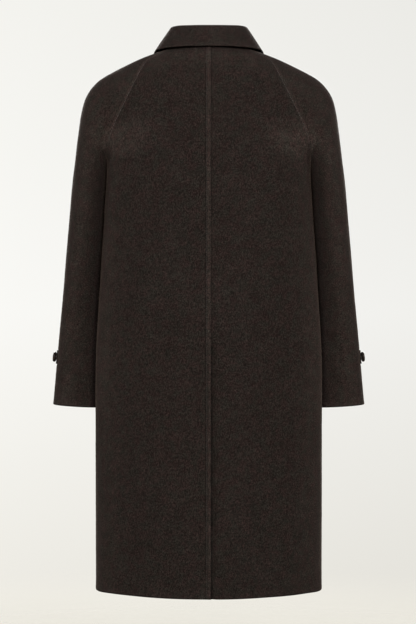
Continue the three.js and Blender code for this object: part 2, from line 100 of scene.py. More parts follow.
def table(names, rows):
    """The columns of a table by name."""
    return {name: np.array(column, float) for name, column in zip(names.split(), zip(*rows))}


# Horizontal rings of the body: half width, depth behind and before the centre, squareness.
BODY_RINGS = table("z half back front square", [
    (22, 58, 66, 38, 2.0),
    (14, 75, 72, 42, 2.0),
    (4, 107, 78, 47, 2.0),
    (-8, 139, 84, 51, 2.0),
    (-24, 175, 91.5, 57, 2.0),
    (-40, 205, 98.5, 65, 2.05),
    (-56, 227, 104, 72, 2.15),
    (-75, 240, 110, 80, 2.2),
    (-95, 243, 115, 90, 2.35),
    (-120, 234, 119, 102, 2.5),
    (-150, 221, 124, 114, 2.75),
    (-180, 210, 127.5, 124, 3.0),
    (-215, 203, 130, 131, 3.2),
    (-330, 208.5, 132, 136, 2.85),
    (-450, 216.5, 134, 139, 2.6),
    (-600, 225, 137, 142, 2.4),
    (-760, 225.5, 138, 143, 2.35),
    (-1064, 225, 140, 145, 2.3),
])

# Raglan stations from the neck to the underarm, and the handles of the sleeve's curve at each.
RAGLAN = table("top_x top_z back_x back_z front_x front_z fold over under", [
    (80, 12, 70, 12.5, 62, -22, 0, 18, 17),
    (107, 3, 97, -1, 85, -32, 0, 19, 18),
    (150, -14, 127, -18, 112, -52, 0, 25, 23),
    (190, -33, 147, -56, 135, -85, 0, 38, 32),
    (222, -53, 163, -90, 155, -120, 0.05, 54, 43),
    (243, -80, 185, -136, 175, -155, 0.25, 76, 44),
    (254, -115, 197, -168, 190, -180, 0.6, 89, 40),
    (261, -165, 202, -195, 199, -198, 0.9, 101, 62),
    (267, -215, 203, -215, 203, -215, 1, 113, 113),
])

# Rings of the hanging sleeve from the underarm to the cuff.
SLEEVE_RINGS = table("out_x out_z in_z out_y in_y depth", [
    (267, -215, -215, 0, 0, 85),
    (272.5, -258, -262, 3, 15, 82),
    (278.5, -325, -331, 8, 26, 78),
    (285.5, -400, -407, 14, 36, 74),
    (292, -475, -483, 21, 46, 69),
    (299.5, -548, -556, 29, 54, 64),
    (306, -614, -622, 36, 61, 60),
    (310, -658, -666, 40, 65, 58.5),
    (314, -698.5, -705.5, 44, 68, 57.5),
])

# The collar from the centre back to the centre front: its fold and the edge of the fall.
COLLAR = table("at fold_x fold_y fold_z edge_x edge_y edge_z", [
    (0, 0, -64, 52, 0, -88, 9),
    (0.15, 36, -57, 53, 50, -81, 9),
    (0.3, 64, -36, 55, 91.2, -50, 9),
    (0.43, 76, -1, 54, 108.6, -3, 8.6),
    (0.56, 73, 29, 33, 111, 37, -7),
    (0.68, 62, 50, 4, 102, 67, -42),
    (0.84, 36, 68, -30, 77, 94, -89),
    (1, 3.4, 77, -50, 45.5, 114, -135),
])
ROLL = table("out up", [(-5.5, -5), (-3.8, -1), (0.8, 0), (5, -4.5)])
STAND_TOP = (-3, -6.1)
FALL_BOW = {"depth": 0.2, "out": 1, "up": 0.5}

SIDES = (("right", False), ("left", True))  # the left one is mirrored and laps over
FRONT_BUTTONS = {"count": 5, "top": -112, "spacing": 134}
FRONT_BUTTON = {"radius": 12.5, "height": 4.5, "hole": 1.05, "spread": 2.5, "below": 0.9}
CUFF_BUTTON = {"radius": 10.0, "height": 4.6, "hole": 0.9, "spread": 2.0, "below": 1.8}
# The cuff tab reaches this far before and behind the line along the top of the arm.
TAB = {"top": -589, "bottom": -617, "before": 66.0, "behind": 9.5, "sewn_at": 3.8}
TAB_BED = 0.9  # how deep the strap presses into the sleeve under it

# Soft creases of the back panels: two ends across and up, width and depth; a ridge is above 0.
# Across is measured round the panel from the centre back.
BACK_RIGHT_CREASES = table("x1 z1 x2 z2 width depth sway", [
    (170, -770, 160, -1120, 26, 2.2, 5),
    (204, -800, 202, -1110, 16, -1.3, -3),
    (120, -820, 112, -1100, 30, -1.2, 6),
    (34, -690, 44, -960, 28, -1.5, -5),
    (78, -880, 84, -1110, 24, 0.9, 3),
    (60, -300, 74, -640, 44, 0.9, 8),
    (150, -250, 128, -560, 38, -0.9, -7),
    (176, -205, 90, -320, 26, 0.8, 6),
    (60, -70, 96, -190, 30, 0.6, -4),
])
BACK_LEFT_CREASES = table("x1 z1 x2 z2 width depth sway", [
    (152, -750, 146, -1110, 30, -2.0, 6),
    (206, -720, 208, -1000, 20, 1.6, 3),
    (88, -740, 76, -1090, 34, 1.3, -6),
    (34, -800, 30, -1100, 24, -1.0, 3),
    (116, -900, 112, -1115, 20, 0.8, -3),
    (66, -250, 52, -560, 40, 0.8, -8),
    (158, -280, 138, -600, 36, -0.9, 6),
    (180, -212, 84, -350, 24, 0.9, -6),
    (42, -120, 70, -230, 28, -0.6, 4),
])
# Those of the front panels, measured from the centre front.
FRONT_RIGHT_CREASES = table("x1 z1 x2 z2 width depth sway", [
    (150, -700, 162, -1115, 30, 2.2, -6),
    (104, -760, 92, -1110, 28, -1.6, 5),
    (206, -760, 210, -1080, 22, -1.3, 4),
    (64, -860, 62, -1100, 24, 1.0, 3),
    (120, -220, 78, -420, 32, 1.1, 8),
    (176, -206, 112, -300, 20, -1.0, -5),
    (150, -360, 140, -650, 38, -0.9, 7),
])
FRONT_LEFT_CREASES = table("x1 z1 x2 z2 width depth sway", [
    (160, -720, 150, -1115, 30, 1.9, 6),
    (112, -700, 118, -1100, 30, -1.7, -5),
    (58, -800, 66, -1110, 26, 0.9, -4),
    (208, -700, 206, -1060, 20, -1.2, -4),
    (112, -230, 70, -450, 34, 1.0, -7),
    (180, -208, 118, -310, 20, -0.9, 4),
    (140, -380, 154, -640, 36, -0.8, -7),
])
# Those of the sleeves: across is measured from the line along the top of the arm.
SLEEVE_BACK_CREASES = table("x1 z1 x2 z2 width depth sway", [
    (70, -180, 96, -262, 13, -1.5, 4),
    (92, -170, 112, -240, 10, 1.1, -3),
    (30, -330, 80, -400, 20, -1.0, 5),
    (22, -455, 88, -486, 15, 1.2, 4),
    (36, -505, 92, -520, 13, -1.2, -3),
    (28, -560, 60, -660, 22, 0.9, 4),
    (54, -120, 74, -150, 16, -0.7, 3),
])
SLEEVE_FRONT_CREASES = table("x1 z1 x2 z2 width depth sway", [
    (66, -176, 98, -270, 14, -1.7, -4),
    (96, -178, 114, -250, 10, 1.2, 3),
    (30, -440, 96, -418, 14, -1.8, 5),
    (36, -470, 98, -462, 12, 1.4, -4),
    (30, -500, 90, -512, 15, -1.3, 4),
    (36, -300, 78, -352, 20, -0.9, 5),
    (34, -570, 66, -672, 22, 0.9, -4),
])


def smooth(keys, values, at):
    """Cubic curve through a table's values, with slopes from the rows on either side."""
    if keys[-1] < keys[0]:
        keys, values = keys[::-1], values[::-1]
    order = np.r_[0, np.arange(len(keys)), len(keys) - 1]
    slopes = (values[order[2:]] - values[order[:-2]]) / (keys[order[2:]] - keys[order[:-2]])
    i = np.clip(np.searchsorted(keys, at) - 1, 0, len(keys) - 2)
    span = keys[i + 1] - keys[i]
    t = (at - keys[i]) / span
    t2, t3 = t * t, t * t * t
    ends = values[i] * (2 * t3 - 3 * t2 + 1) + values[i + 1] * (3 * t2 - 2 * t3)
    return ends + span * (slopes[i] * (t3 - 2 * t2 + t) + slopes[i + 1] * (t3 - t2))


def step(low, high, value):
    """0 below low, 1 above high and smooth between; low may be the larger one."""
    t = np.clip((value - low) / (high - low), 0, 1)
    return t * t * (3 - 2 * t)


def bump(value, centre, width):
    return np.exp(-(((value - centre) / width) ** 2))


def unit(vectors):
    return vectors / np.maximum(np.linalg.norm(vectors, axis=-1, keepdims=True), 1e-9)


def body(column, z):
    return smooth(BODY_RINGS["z"], BODY_RINGS[column], z)


def raglan(column, station):
    """A column of the raglan stations at a place between them."""
    return smooth(np.arange(LAST_STATION + 1.0), RAGLAN[column], station)


def sleeve_ring(column, ring):
    return smooth(np.arange(LAST_RING + 1.0), SLEEVE_RINGS[column], ring)


LAST_STATION = len(RAGLAN["fold"]) - 1
LAST_RING = len(SLEEVE_RINGS["depth"]) - 1


def body_point(z, angle, side):
    """A point of the body. side is -1 behind and 1 before, and the angle is 0 at the centre."""
    z, angle = np.broadcast_arrays(np.asarray(z, float), np.asarray(angle, float))
    power = 2 / body("square", z)
    across = np.sign(angle) * np.abs(np.sin(angle)) ** power
    along = np.maximum(np.cos(angle), 0) ** power
    depth = body("back" if side < 0 else "front", z)
    return np.stack([body("half", z) * across, side * depth * along, z], -1)


def body_angle(z, x):
    share = np.minimum(np.abs(x) / body("half", z), 1)
    return np.sign(x) * np.arcsin(share ** (body("square", z) / 2))


def side_of_body(z, y):
    square = body("square", z)
    share = np.minimum(np.abs(y) / body("front", z), 1)
    return body("half", z) * (1 - share ** square) ** (1 / square)


def seam_height(station, side):
    return raglan("back_z" if side < 0 else "front_z", station)


def seam_angle(station, side):
    if station >= LAST_STATION:
        return math.pi / 2
    x = raglan("back_x" if side < 0 else "front_x", station)
    return float(body_angle(seam_height(station, side), x))


def lengths(curve):
    """How far along a line each of its points is."""
    return np.r_[0, np.cumsum(np.linalg.norm(np.diff(curve, axis=0), axis=1))]


def at_lengths(curve, run, wanted):
    return np.stack([np.interp(wanted, run, curve[:, k]) for k in range(3)], -1)


def rim():
    """Distances from a border at which its rounding is drawn."""
    return EDGE * (1 - np.cos(np.linspace(0, math.pi / 2, 5)))


def spaced(marks, gaps):
    """Distances from one mark to the next, with no gap much over the one given for that stretch."""
    out = [marks[0]]
    for start, end, gap in zip(marks, marks[1:], gaps):
        count = max(1, round((end - start) / gap))
        out.extend(np.linspace(start, end, count + 1)[1:])
    return np.array(out)


def border_columns(band, reach):
    """Distances from a border: its rounding, a sewn band with its line of stitches, and on."""
    line = [band - 1.2, band - 0.6, band, band + 0.6, band + 1.2]
    return np.r_[rim(), spaced([EDGE, line[0]], [1.3])[1:], line[1:], spaced([line[-1], reach], [3.2])[1:]]


DENSE = 360  # points of a row before it is divided


def body_row(side, z_centre, z_seam, end_angle, lap):
    """A dense row of a body panel, and how far each point is from the centre line."""
    past = np.linspace(float(body_angle(z_centre, -lap)), 0, 30)[:-1] if lap else []
    angles = np.r_[past, np.linspace(0, end_angle, DENSE)]
    share = np.maximum(angles / end_angle, 0)
    curve = body_point(z_centre + (z_seam - z_centre) * share ** ROW_BEND, angles, side)
    run = lengths(curve)
    return curve, run - run[len(past)]


def seam_lead(station, side, start, top):
    """Direction in which a sleeve leaves its seam: over the body, or folded back under the arm."""
    z, angle = float(seam_height(station, side)), seam_angle(station, side)
    up = body_point(z + 0.5, angle, side) - start
    round_ = body_point(z, angle - 0.01, side) - start
    normal = unit(np.cross(up, round_))
    lead = top - start
    lead = unit(lead - normal * np.dot(lead, normal))
    fold = float(raglan("fold", station))
    return unit(lead * (1 - fold) + np.array([0, side * fold, 0]))


def bezier(a, b, c, d):
    t = np.linspace(0, 1, DENSE)[:, None]
    s = 1 - t
    return a * s ** 3 + b * 3 * s * s * t + c * 3 * s * t * t + d * t ** 3


def arch_row(station, side):
    """A row of a sleeve half over the shoulder, from the top of the arm to the raglan seam."""
    top = np.array([raglan("top_x", station), 0, raglan("top_z", station)], float)
    seam = body_point(float(seam_height(station, side)), seam_angle(station, side), side)
    straight = np.array([0.0, side, 0])
    lead = straight if station >= LAST_STATION else seam_lead(station, side, seam, top)
    over = top + straight * raglan("over", station)
    return bezier(top, over, seam + lead * raglan("under", station), seam)


def inner_x(out_x, out_y, in_y, z, reach):
    """How far out a sleeve's inner line is, so that its whole ring just clears the body."""
    t = np.arange(0.5, 1.001, 0.05)
    share = t * t * (3 - 2 * t)
    y = out_y + (in_y - out_y) * share
    needs = [((side_of_body(z, y + side * 3 * t * (1 - t) * reach) + SLEEVE_CLEAR)
              - out_x * (1 - share)) / share for side in (-1, 1)]
    return float(np.max(needs))


def tube_row(ring, side):
    """A row of a sleeve half below the underarm, from the outer line to the inner one."""
    out_x, out_y, out_z, in_y, in_z, depth = (
        float(sleeve_ring(name, ring)) for name in "out_x out_y out_z in_y in_z depth".split())
    reach = OVAL * depth
    outer = np.array([out_x, out_y, out_z])
    inner = np.array([inner_x(out_x, out_y, in_y, in_z, reach), in_y, in_z])
    away = np.array([0, side * reach, 0])
    return bezier(outer, outer + away, inner + away, inner)


def panel(curves, runs, first, last, gap):
    """A grid of cloth from dense rows: columns at fixed distances near both borders, even between.

    near and far hold how far each point is from the two side borders of its row.
    """
    width = max(run[-1] for run in runs)
    middle = max(4, round((width - first[-1] - last[-1]) / gap))
    points, across, far = [], [], []
    for curve, run in zip(curves, runs):
        start, end = run[0] + first, run[-1] - last[::-1]
        if start[-1] > end[0]:
            raise ValueError("a row is too short for its borders")
        wanted = np.r_[start, np.linspace(start[-1], end[0], middle + 1)[1:-1], end]
        points.append(at_lengths(curve, run, wanted))
        across.append(wanted)
        far.append(run[-1] - wanted)
    across = np.array(across)
    return {"points": np.array(points), "across": across, "near": across - across[:, :1],
            "far": np.array(far)}


def add_distances(grid, outward):
    """Normals, and how far each point is from the grid's first and last rows."""
    points = grid["points"]
    down, right = np.gradient(points, axis=0), np.gradient(points, axis=1)
    grid["normals"] = unit(np.cross(right, down)) * outward
    hops = np.linalg.norm(np.diff(points, axis=0), axis=2)
    grid["top"] = np.vstack([np.zeros(points.shape[1]), np.cumsum(hops, axis=0)])
    grid["foot"] = grid["top"][-1] - grid["top"]
    return grid


def station_rows():
    """Stations of the rows along the raglan seam, close together at the neck."""
    neck = rim() / 30
    return np.r_[neck, spaced([neck[-1], LAST_STATION], [0.125])[1:]]


def hem_rows(fold):
    """Heights above a hem at which rows lie, from the rounded edge upwards."""
    return np.r_[rim(), spaced([EDGE, 7.8], [1.3])[1:], spaced([7.8, fold - 2], [4.6])[1:],
                 [fold - 1, fold, fold + 1, fold + 2]]


def body_grid(side, lap_at, first):
    """All rows of a body panel: along the raglan seam, then down the side seam to the hem."""
    neck = NECK_BACK if side < 0 else NECK_FRONT
    seam_top = float(seam_height(0, side))
    rows = []
    for station in station_rows():
        z_seam = float(seam_height(station, side))
        done = (seam_top - z_seam) / (seam_top - UNDERARM)
        rows.append((neck + (UNDERARM - neck) * done, z_seam, seam_angle(station, side)))
    above_hem = hem_rows(HEM_FOLD)[::-1]
    levels = np.r_[spaced([UNDERARM, HEM + above_hem[0]], [-4.8])[1:], HEM + above_hem[1:]]
    rows += [(z, z, math.pi / 2) for z in levels]
    curves, runs = zip(*(body_row(side, z, z_seam, angle, lap_at(z)) for z, z_seam, angle in rows))
    grid = panel(curves, runs, first, border_columns(RAGLAN_BAND, 14), 4.8)
    return add_distances(grid, side)


def sleeve_grid(side):
    """All rows of a sleeve half: over the shoulder, then down the hanging sleeve to the cuff."""
    ring_height = float(SLEEVE_RINGS["out_z"][-2] - SLEEVE_RINGS["out_z"][-1])
    above_cuff = hem_rows(CUFF_FOLD)[::-1] / ring_height
    rings = np.r_[spaced([0, LAST_RING - above_cuff[0]], [0.075])[1:], LAST_RING - above_cuff[1:]]
    curves = [arch_row(station, side) for station in station_rows()]
    curves += [tube_row(ring, side) for ring in rings]
    first, last = border_columns(ARM_BAND, 12), border_columns(RAGLAN_BAND, 10)
    grid = panel(curves, [lengths(curve) for curve in curves], first, last, 4.4)
    keep = step(2, 34, grid["far"]) * step(2, 34, grid["near"])
    grid["points"] = eased(grid["points"], UNDERARM + 75, UNDERARM - 75, keep, 160)
    return add_distances(grid, -side)


def creased(grid, creases, depth=1.0):
    """Heights of soft troughs and ridges, each along a slightly bent line."""
    x, z = grid["across"], grid["points"][..., 2]
    height = np.zeros_like(x)
    for x1, z1, x2, z2, width, deep, sway in zip(*creases.values()):
        run = np.array([x2 - x1, z2 - z1])
        length = np.hypot(*run)
        along = ((x - x1) * run[0] + (z - z1) * run[1]) / length
        t = np.clip(along / length, 0, 1)
        off = ((x - x1) * run[1] - (z - z1) * run[0]) / length
        off = off - sway * (np.sin(math.pi * t) + 0.4 * np.sin(3.1 * math.pi * t))
        past = along - t * length
        fade = np.sin(math.pi * np.clip(t, 0.02, 0.98)) ** 0.8
        wide = width * (0.75 + 0.45 * t)
        height += deep * fade * np.exp(-(off ** 2 + past ** 2) / wide ** 2)
    return depth * height


def ripples(grid, seed, size=0.35):
    """Slight unevenness of steamed cloth: a few long waves with seeded directions."""
    rng = np.random.default_rng(seed)
    x, z = grid["across"], grid["points"][..., 2]
    height = np.zeros_like(x)
    for wave in (150, 95, 62, 41, 27):
        turn, phase = rng.uniform(0, math.pi), rng.uniform(0, 2 * math.pi)
        along = x * math.cos(turn) + z * math.sin(turn)
        height += wave / 150 * np.sin(along * 2 * math.pi / wave + phase)
    return size * height


def pucker(run, seed):
    """Uneven gathering along a line of stitches."""
    turns = np.random.default_rng(seed).uniform(0, 2 * math.pi, 3)
    waves = zip((1.0, 0.8, 0.6), (2.1, 3.7, 6.3), turns)
    return 0.07 * sum(share * np.sin(run / wave + turn) for share, wave, turn in waves)


def raised(distance, width):
    """How far a band of folded cloth along a border stands up."""
    return BAND_RISE * step(width + 0.9, width - 0.9, distance)


def band(distance, width, run, seed):
    """Height of a sewn band along a border: raised, crowned, with a groove at its stitches."""
    crown = raised(distance, width) * (0.86 + 0.14 * bump(distance, width / 2, width / 2.4))
    groove = GROOVE["depth"] * bump(distance, width, GROOVE["width"])
    near_line = bump(distance, width, 3.2)
    return crown - groove * (1 + 1.6 * pucker(run, seed)) + near_line * pucker(run, seed + 1)


def band_press_and_highlight(distance, width):
    """How much lighter a band is: its nap pressed, and a painted highlight where it stands up."""
    return step(width + 1.2, width - 0.8, distance)


def plain_seam(distance):
    """Two borders that meet dip a little towards the seam between them."""
    return -0.55 * step(4.0, 0.0, distance)


def rounding(grid):
    """0 at a grid's borders and 1 beyond their rounding."""
    nearest = np.minimum.reduce([grid[key] for key in ("near", "far", "top", "foot")])
    inside = np.clip(nearest / EDGE, 0, 1)
    return np.sqrt(np.maximum(1 - (1 - inside) ** 2, 0))


def eased(points, z_from, z_to, keep, rounds):
    """Evens out the slope of a grid between two heights, away from its side borders."""
    z = points[..., 2:3]
    share = step(z_to, z_to + 22, z) * step(z_from, z_from - 22, z) * keep[..., None]
    share[0] = share[-1] = 0
    for _ in range(rounds):
        evened = points.copy()
        evened[1:-1] = (points[:-2] + 2 * points[1:-1] + points[2:]) / 4
        points = points + share * (evened - points)
    return points


def reach_out(grid, near, far):
    """Moves the borders a little past their seam lines, and the cloth beside them along with them."""
    points = grid["points"]
    start = unit(points[:, :1] - points[:, 6:7])
    end = unit(points[:, -1:] - points[:, -7:-6])
    fade_near, fade_far = (np.clip(1 - grid[key][..., None] / 10, 0, 1) ** 2 for key in ("near", "far"))
    return points + near * start * fade_near + far * end * fade_far


def make_object(name, verts, faces, material, attributes=None):
    """An object from points in millimetres and rows of vertex numbers, all with the same count."""
    mesh = bpy.data.meshes.new(name)
    faces = np.asarray(faces, dtype=np.int32)
    count, corners = faces.shape
    mesh.vertices.add(len(verts))
    mesh.vertices.foreach_set("co", (np.asarray(verts) * MM).astype(np.float32).ravel())
    mesh.loops.add(count * corners)
    mesh.loops.foreach_set("vertex_index", faces.ravel())
    mesh.polygons.add(count)
    mesh.polygons.foreach_set("loop_start", np.arange(0, count * corners, corners, dtype=np.int32))
    mesh.update(calc_edges=True)
    mesh.polygons.foreach_set("use_smooth", np.ones(count, dtype=bool))
    for key, values in (attributes or {}).items():
        layer = mesh.attributes.new(key, "FLOAT", "POINT")
        layer.data.foreach_set("value", np.asarray(values, dtype=np.float32).ravel())
    mesh.materials.append(material)
    mesh.validate()
    return link(name, mesh)


def link(name, data):
    """A new object in the scene."""
    obj = bpy.data.objects.new(name, data)
    bpy.context.scene.collection.objects.link(obj)
    return obj


def grid_faces(index):
    return np.stack([index[:-1, :-1], index[:-1, 1:], index[1:, 1:], index[1:, :-1]], -1).reshape(-1, 4)


def shell(name, grid, outer, thickness, light, mirrored):
    """A closed layer of cloth: an outer and an inner surface that meet along rounded borders."""
    rows, columns = outer.shape[:2]
    normals, half = grid["normals"], (thickness / 2)[..., None]
    middle = outer - normals * half
    reach = normals * half * rounding(grid)[..., None]
    inside = np.s_[1:-1, 1:-1]
    verts = np.vstack([(middle + reach).reshape(-1, 3), (middle - reach)[inside].reshape(-1, 3)])
    lights = np.r_[light.ravel(), light[inside].ravel()]
    top_index = np.arange(rows * columns).reshape(rows, columns)
    low_index = top_index.copy()
    low_index[inside] = rows * columns + np.arange((rows - 2) * (columns - 2)).reshape(rows - 2, columns - 2)
    faces = np.vstack([grid_faces(top_index), grid_faces(low_index)[:, ::-1]])
    i, j = rows // 2, columns // 2
    facing_out = np.cross(outer[i, j + 1] - outer[i, j], outer[i + 1, j] - outer[i, j])
    flip = np.dot(facing_out, normals[i, j]) < 0
    if mirrored:
        verts = verts * [-1, 1, 1]
        flip = not flip
    if flip:
        faces = faces[:, ::-1]
    # Each point's light, pressed nap with painted light and painted shade, goes to the wool's colour as an
    # attribute.
    return make_object(name, verts, faces, wool, {"nap_and_painted_light": lights})


class Nodes:
    """Short calls for building a material's node tree."""

    def __init__(self, tree):
        self.tree = tree
        tree.nodes.clear()

    def add(self, kind, inputs=None, **settings):
        node = self.tree.nodes.new(kind)
        for key, value in settings.items():
            setattr(node, key, value)
        for key, value in (inputs or {}).items():
            self.put(node.inputs[key], value)
        return node

    def put(self, socket, value):
        if isinstance(value, bpy.types.NodeSocket):
            self.tree.links.new(value, socket)
        else:
            socket.default_value = value

    def math(self, operation, a, b):
        return self.add("ShaderNodeMath", {0: a, 1: b}, operation=operation).outputs[0]

    def noise(self, vector, scale, detail=2.0, roughness=0.5):
        return self.add("ShaderNodeTexNoise", {
            "Vector": vector, "Scale": scale, "Detail": detail, "Roughness": roughness}).outputs["Fac"]

    def turned(self, vector, rotation, scale):
        return self.add("ShaderNodeMapping", {
            "Vector": vector, "Rotation": rotation, "Scale": scale}).outputs["Vector"]

    def mixed(self, a, share_a, b, share_b):
        return self.math("ADD", self.math("MULTIPLY", a, share_a), self.math("MULTIPLY", b, share_b))

    def tinted(self, colour, tint):
        node = self.add("ShaderNodeMix", {0: 1.0, 6: colour, 7: tint},
                        data_type="RGBA", blend_type="MULTIPLY")
        return node.outputs[2]

    def ramp(self, factor, stops):
        node = self.add("ShaderNodeValToRGB", {"Fac": factor})
        points = node.color_ramp.elements
        while len(points) < len(stops):
            points.new(0.5)
        for point, (place, colour) in zip(points, stops):
            point.position = place
            point.color = (*colour, 1)
        return node.outputs["Color"]

    def surface(self, colour, rough, relief, gloss):
        """Ends a tree in a lit surface. relief is the strength, distance and height of its bumps."""
        bumps = self.add("ShaderNodeBump", dict(zip(("Strength", "Distance", "Height"), relief)))
        shader = self.add("ShaderNodeBsdfPrincipled", {
            "Base Color": colour, "Roughness": rough, "Normal": bumps.outputs["Normal"], **gloss})
        self.add("ShaderNodeOutputMaterial", {"Surface": shader.outputs[0]})


def new_material(name):
    material = bpy.data.materials.new(name)
    material.use_nodes = True
    return material, Nodes(material.node_tree)


# Colours of the wool, as linear light.
WOOL_TONES = [(0.444, (0.0026, 0.0017, 0.0014)), (0.5, (0.0064, 0.0045, 0.0038)),
              (0.557, (0.0132, 0.0096, 0.0082)), (0.63, (0.0255, 0.0190, 0.0163))]
WOOL_RUST = (1.07, 0.95, 0.975)  # the two hues that the fibres drift between, over the colours above
WOOL_OLIVE = (0.915, 1.05, 1.015)
WOOL_GLOSS = {"Specular IOR Level": 0.03, "Sheen Weight": 0.05, "Sheen Roughness": 0.22,
              "Sheen Tint": (0.66, 0.45, 0.34, 1)}
THREAD_GLOSS = {"Specular IOR Level": 0.3, "Sheen Weight": 0.1, "Sheen Roughness": 0.4}
THREAD_TONES = [(0.35, (0.012, 0.009, 0.0075)), (0.65, (0.036, 0.028, 0.024))]
HORN_TONES = [(0.30, (0.0030, 0.0022, 0.0019)), (0.55, (0.0075, 0.0048, 0.0036)),
              (0.75, (0.024, 0.0135, 0.0085))]

# How much lighter the wool is made: partly nap pressed by sewing, partly painted light. Painted light lifts
# the sleeves, collar and tab, and adds painted highlights along seams, edges, the roll, the neck and the
# sides.
NAP_AND_PAINTED_LIGHT = {"sleeve": 0.40, "seam": 0.8, "centre": 0.62, "arm": 0.6, "front": 0.6, "lap": 0.7,
       "collar": 0.1, "edge": 0.3, "roll": 0.35, "neck": 0.32, "side": 0.35, "tab": 0.35}
HEM_SHADE = 0.5  # how much darker the turned edge of the hem is
CUFF_SHADE = 0.8


def wool_material():
    """Dark brown melange wool: fibres of several browns, small clouds and a short brushed nap, made lighter
    by pressed nap and painted light, and darker by painted shade.
    """
    material, nodes = new_material("wool_melange")
    place = nodes.add("ShaderNodeTexCoord").outputs["Object"]
    fibres_a = nodes.noise(nodes.turned(place, (0.3, 0.55, 0.2), (2300, 2300, 380)), 1.0, 2.0, 0.6)
    fibres_b = nodes.noise(nodes.turned(place, (-0.4, -0.7, 0.5), (420, 2100, 2300)), 1.0, 2.0, 0.6)
    fibres = nodes.math("MULTIPLY", nodes.math("ADD", fibres_a, fibres_b), 0.5)
    tufts = nodes.noise(nodes.turned(place, (0.1, 0.2, 0.0), (620, 620, 400)), 1.0, 3.0, 0.75)
    clouds = nodes.noise(place, 42.0, 4.0, 0.65)
    tone = nodes.mixed(fibres, 0.45, tufts, 0.55)
    tone = nodes.math("ADD", tone, nodes.math("MULTIPLY", nodes.math("SUBTRACT", clouds, 0.5), 0.06))
    colour = nodes.ramp(tone, WOOL_TONES)
    drift = nodes.noise(nodes.turned(place, (0.7, 0.1, 0.4), (1, 1, 1)), 62.0, 5.0, 0.75)
    colour = nodes.tinted(colour, nodes.ramp(drift, [(0.4, WOOL_RUST), (0.6, WOOL_OLIVE)]))
    # A point attribute lightens the wool with pressed nap and painted light, and darkens it with painted
    # shade.
    nap_and_painted_light = nodes.add("ShaderNodeAttribute", attribute_name="nap_and_painted_light").outputs["Fac"]
    patchy = nodes.math("ADD", nodes.noise(place, 160.0, 2.0, 0.6), 0.45)
    gain = nodes.math("ADD", nodes.math("MULTIPLY", nap_and_painted_light, patchy), 1.0)
    colour = nodes.tinted(colour, nodes.math("MAXIMUM", gain, 0.2))
    nodes.surface(colour, 0.95, (0.55, 0.0009, nodes.mixed(tufts, 0.6, fibres, 0.8)), WOOL_GLOSS)
    return material


def thread_material():
    material, nodes = new_material("sewing_thread")
    place = nodes.add("ShaderNodeTexCoord").outputs["Object"]
    twist = nodes.noise(place, 2600.0, 1.0, 0.5)
    nodes.surface(nodes.ramp(twist, THREAD_TONES), 0.7, (0.4, 0.0001, twist), THREAD_GLOSS)
    return material


def horn_material():
    """Near-black horn-like resin with faint brown clouding and fine wear."""
    material, nodes = new_material("dark_horn")
    place = nodes.add("ShaderNodeTexCoord").outputs["Object"]
    clouds = nodes.noise(nodes.turned(place, (0.2, 0.9, 0.1), (70, 190, 260)), 1.0, 4.0, 0.6)
    scuffs = nodes.noise(place, 900.0, 2.0, 0.7)
    rough = nodes.math("ADD", nodes.math("MULTIPLY", scuffs, 0.2), 0.36)
    nodes.surface(nodes.ramp(clouds, HORN_TONES), rough, (0.12, 0.0002, scuffs),
                  {"Specular IOR Level": 0.07})
    return material


wool = wool_material()
thread = thread_material()
horn = horn_material()


def dress(obj, node):
    """A finished piece rides on the coat's one body and stands for its solid."""
    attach(obj, "root")
    if node:
        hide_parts(node)
    return obj


def rings(centres, u, v, radii, sides):
    """Points of rings round some centres, each in the plane of two directions."""
    angles = np.linspace(0, 2 * math.pi, sides, endpoint=False)[:, None]
    out = np.cos(angles) * u[..., None, :] + np.sin(angles) * v[..., None, :]
    return (centres[..., None, :] + out * np.asarray(radii)[..., None, None]).reshape(-1, 3)


def ring_walls(count, sides):
    """Quads between rings of points that lie one after another."""
    index = np.arange(count * sides).reshape(count, sides)
    turned = np.roll(index, -1, axis=1)
    return np.stack([index[:-1], turned[:-1], turned[1:], index[1:]], -1).reshape(-1, 4)


def capsules(heads, tails, ups, radius, arch):
    """Short rounded threads from heads to tails, slightly arched away from the cloth."""
    sides, along = 6, np.array([0.0, 0.18, 0.5, 0.82, 1.0])[:, None]
    swell = np.array([0.25, 0.85, 1.0, 0.85, 0.25])
    way, ups = (tails - heads)[:, None], ups[:, None]
    centres = heads[:, None] + way * along + ups * (arch * np.sin(math.pi * along) + 0.02)
    verts = rings(centres, ups, unit(np.cross(way, ups)), radius * swell, sides)
    each = sides * len(along)
    start, end = np.array([(0, 1, 2, 3), (0, 3, 4, 5)]), each - sides
    caps = np.vstack([start, end + np.array([(3, 2, 1, 0), (5, 4, 3, 0)])])
    one = np.vstack([ring_walls(len(along), sides)[:, [0, 3, 2, 1]], caps])
    return verts, (one[None] + each * np.arange(len(heads))[:, None, None]).reshape(-1, 4)


def stitches(name, lines, mirrored):
    """Rows of stitches along lines of points and normals, joined into one mesh."""
    threads = []
    for points, normals in lines:
        run = lengths(points)
        starts = np.arange(0.6, run[-1] - STITCH["length"] - 0.4, STITCH["pitch"])
        ups = unit(at_lengths(normals, run, starts + STITCH["length"] / 2))
        threads.append((at_lengths(points, run, starts),
                        at_lengths(points, run, starts + STITCH["length"]), ups))
    return sewn_mesh(name, threads, STITCH["radius"], 0.16, mirrored)


def sewn_mesh(name, threads, radius, arch, mirrored):
    """Short threads, each with its two ends and the way up from the cloth, as one mesh."""
    verts, faces = capsules(*(np.vstack(ends) for ends in zip(*threads)), radius, arch)
    if mirrored:
        verts = verts * [-1, 1, 1]
        faces = faces[:, ::-1]
    return dress(make_object(name, verts, faces, thread), None)


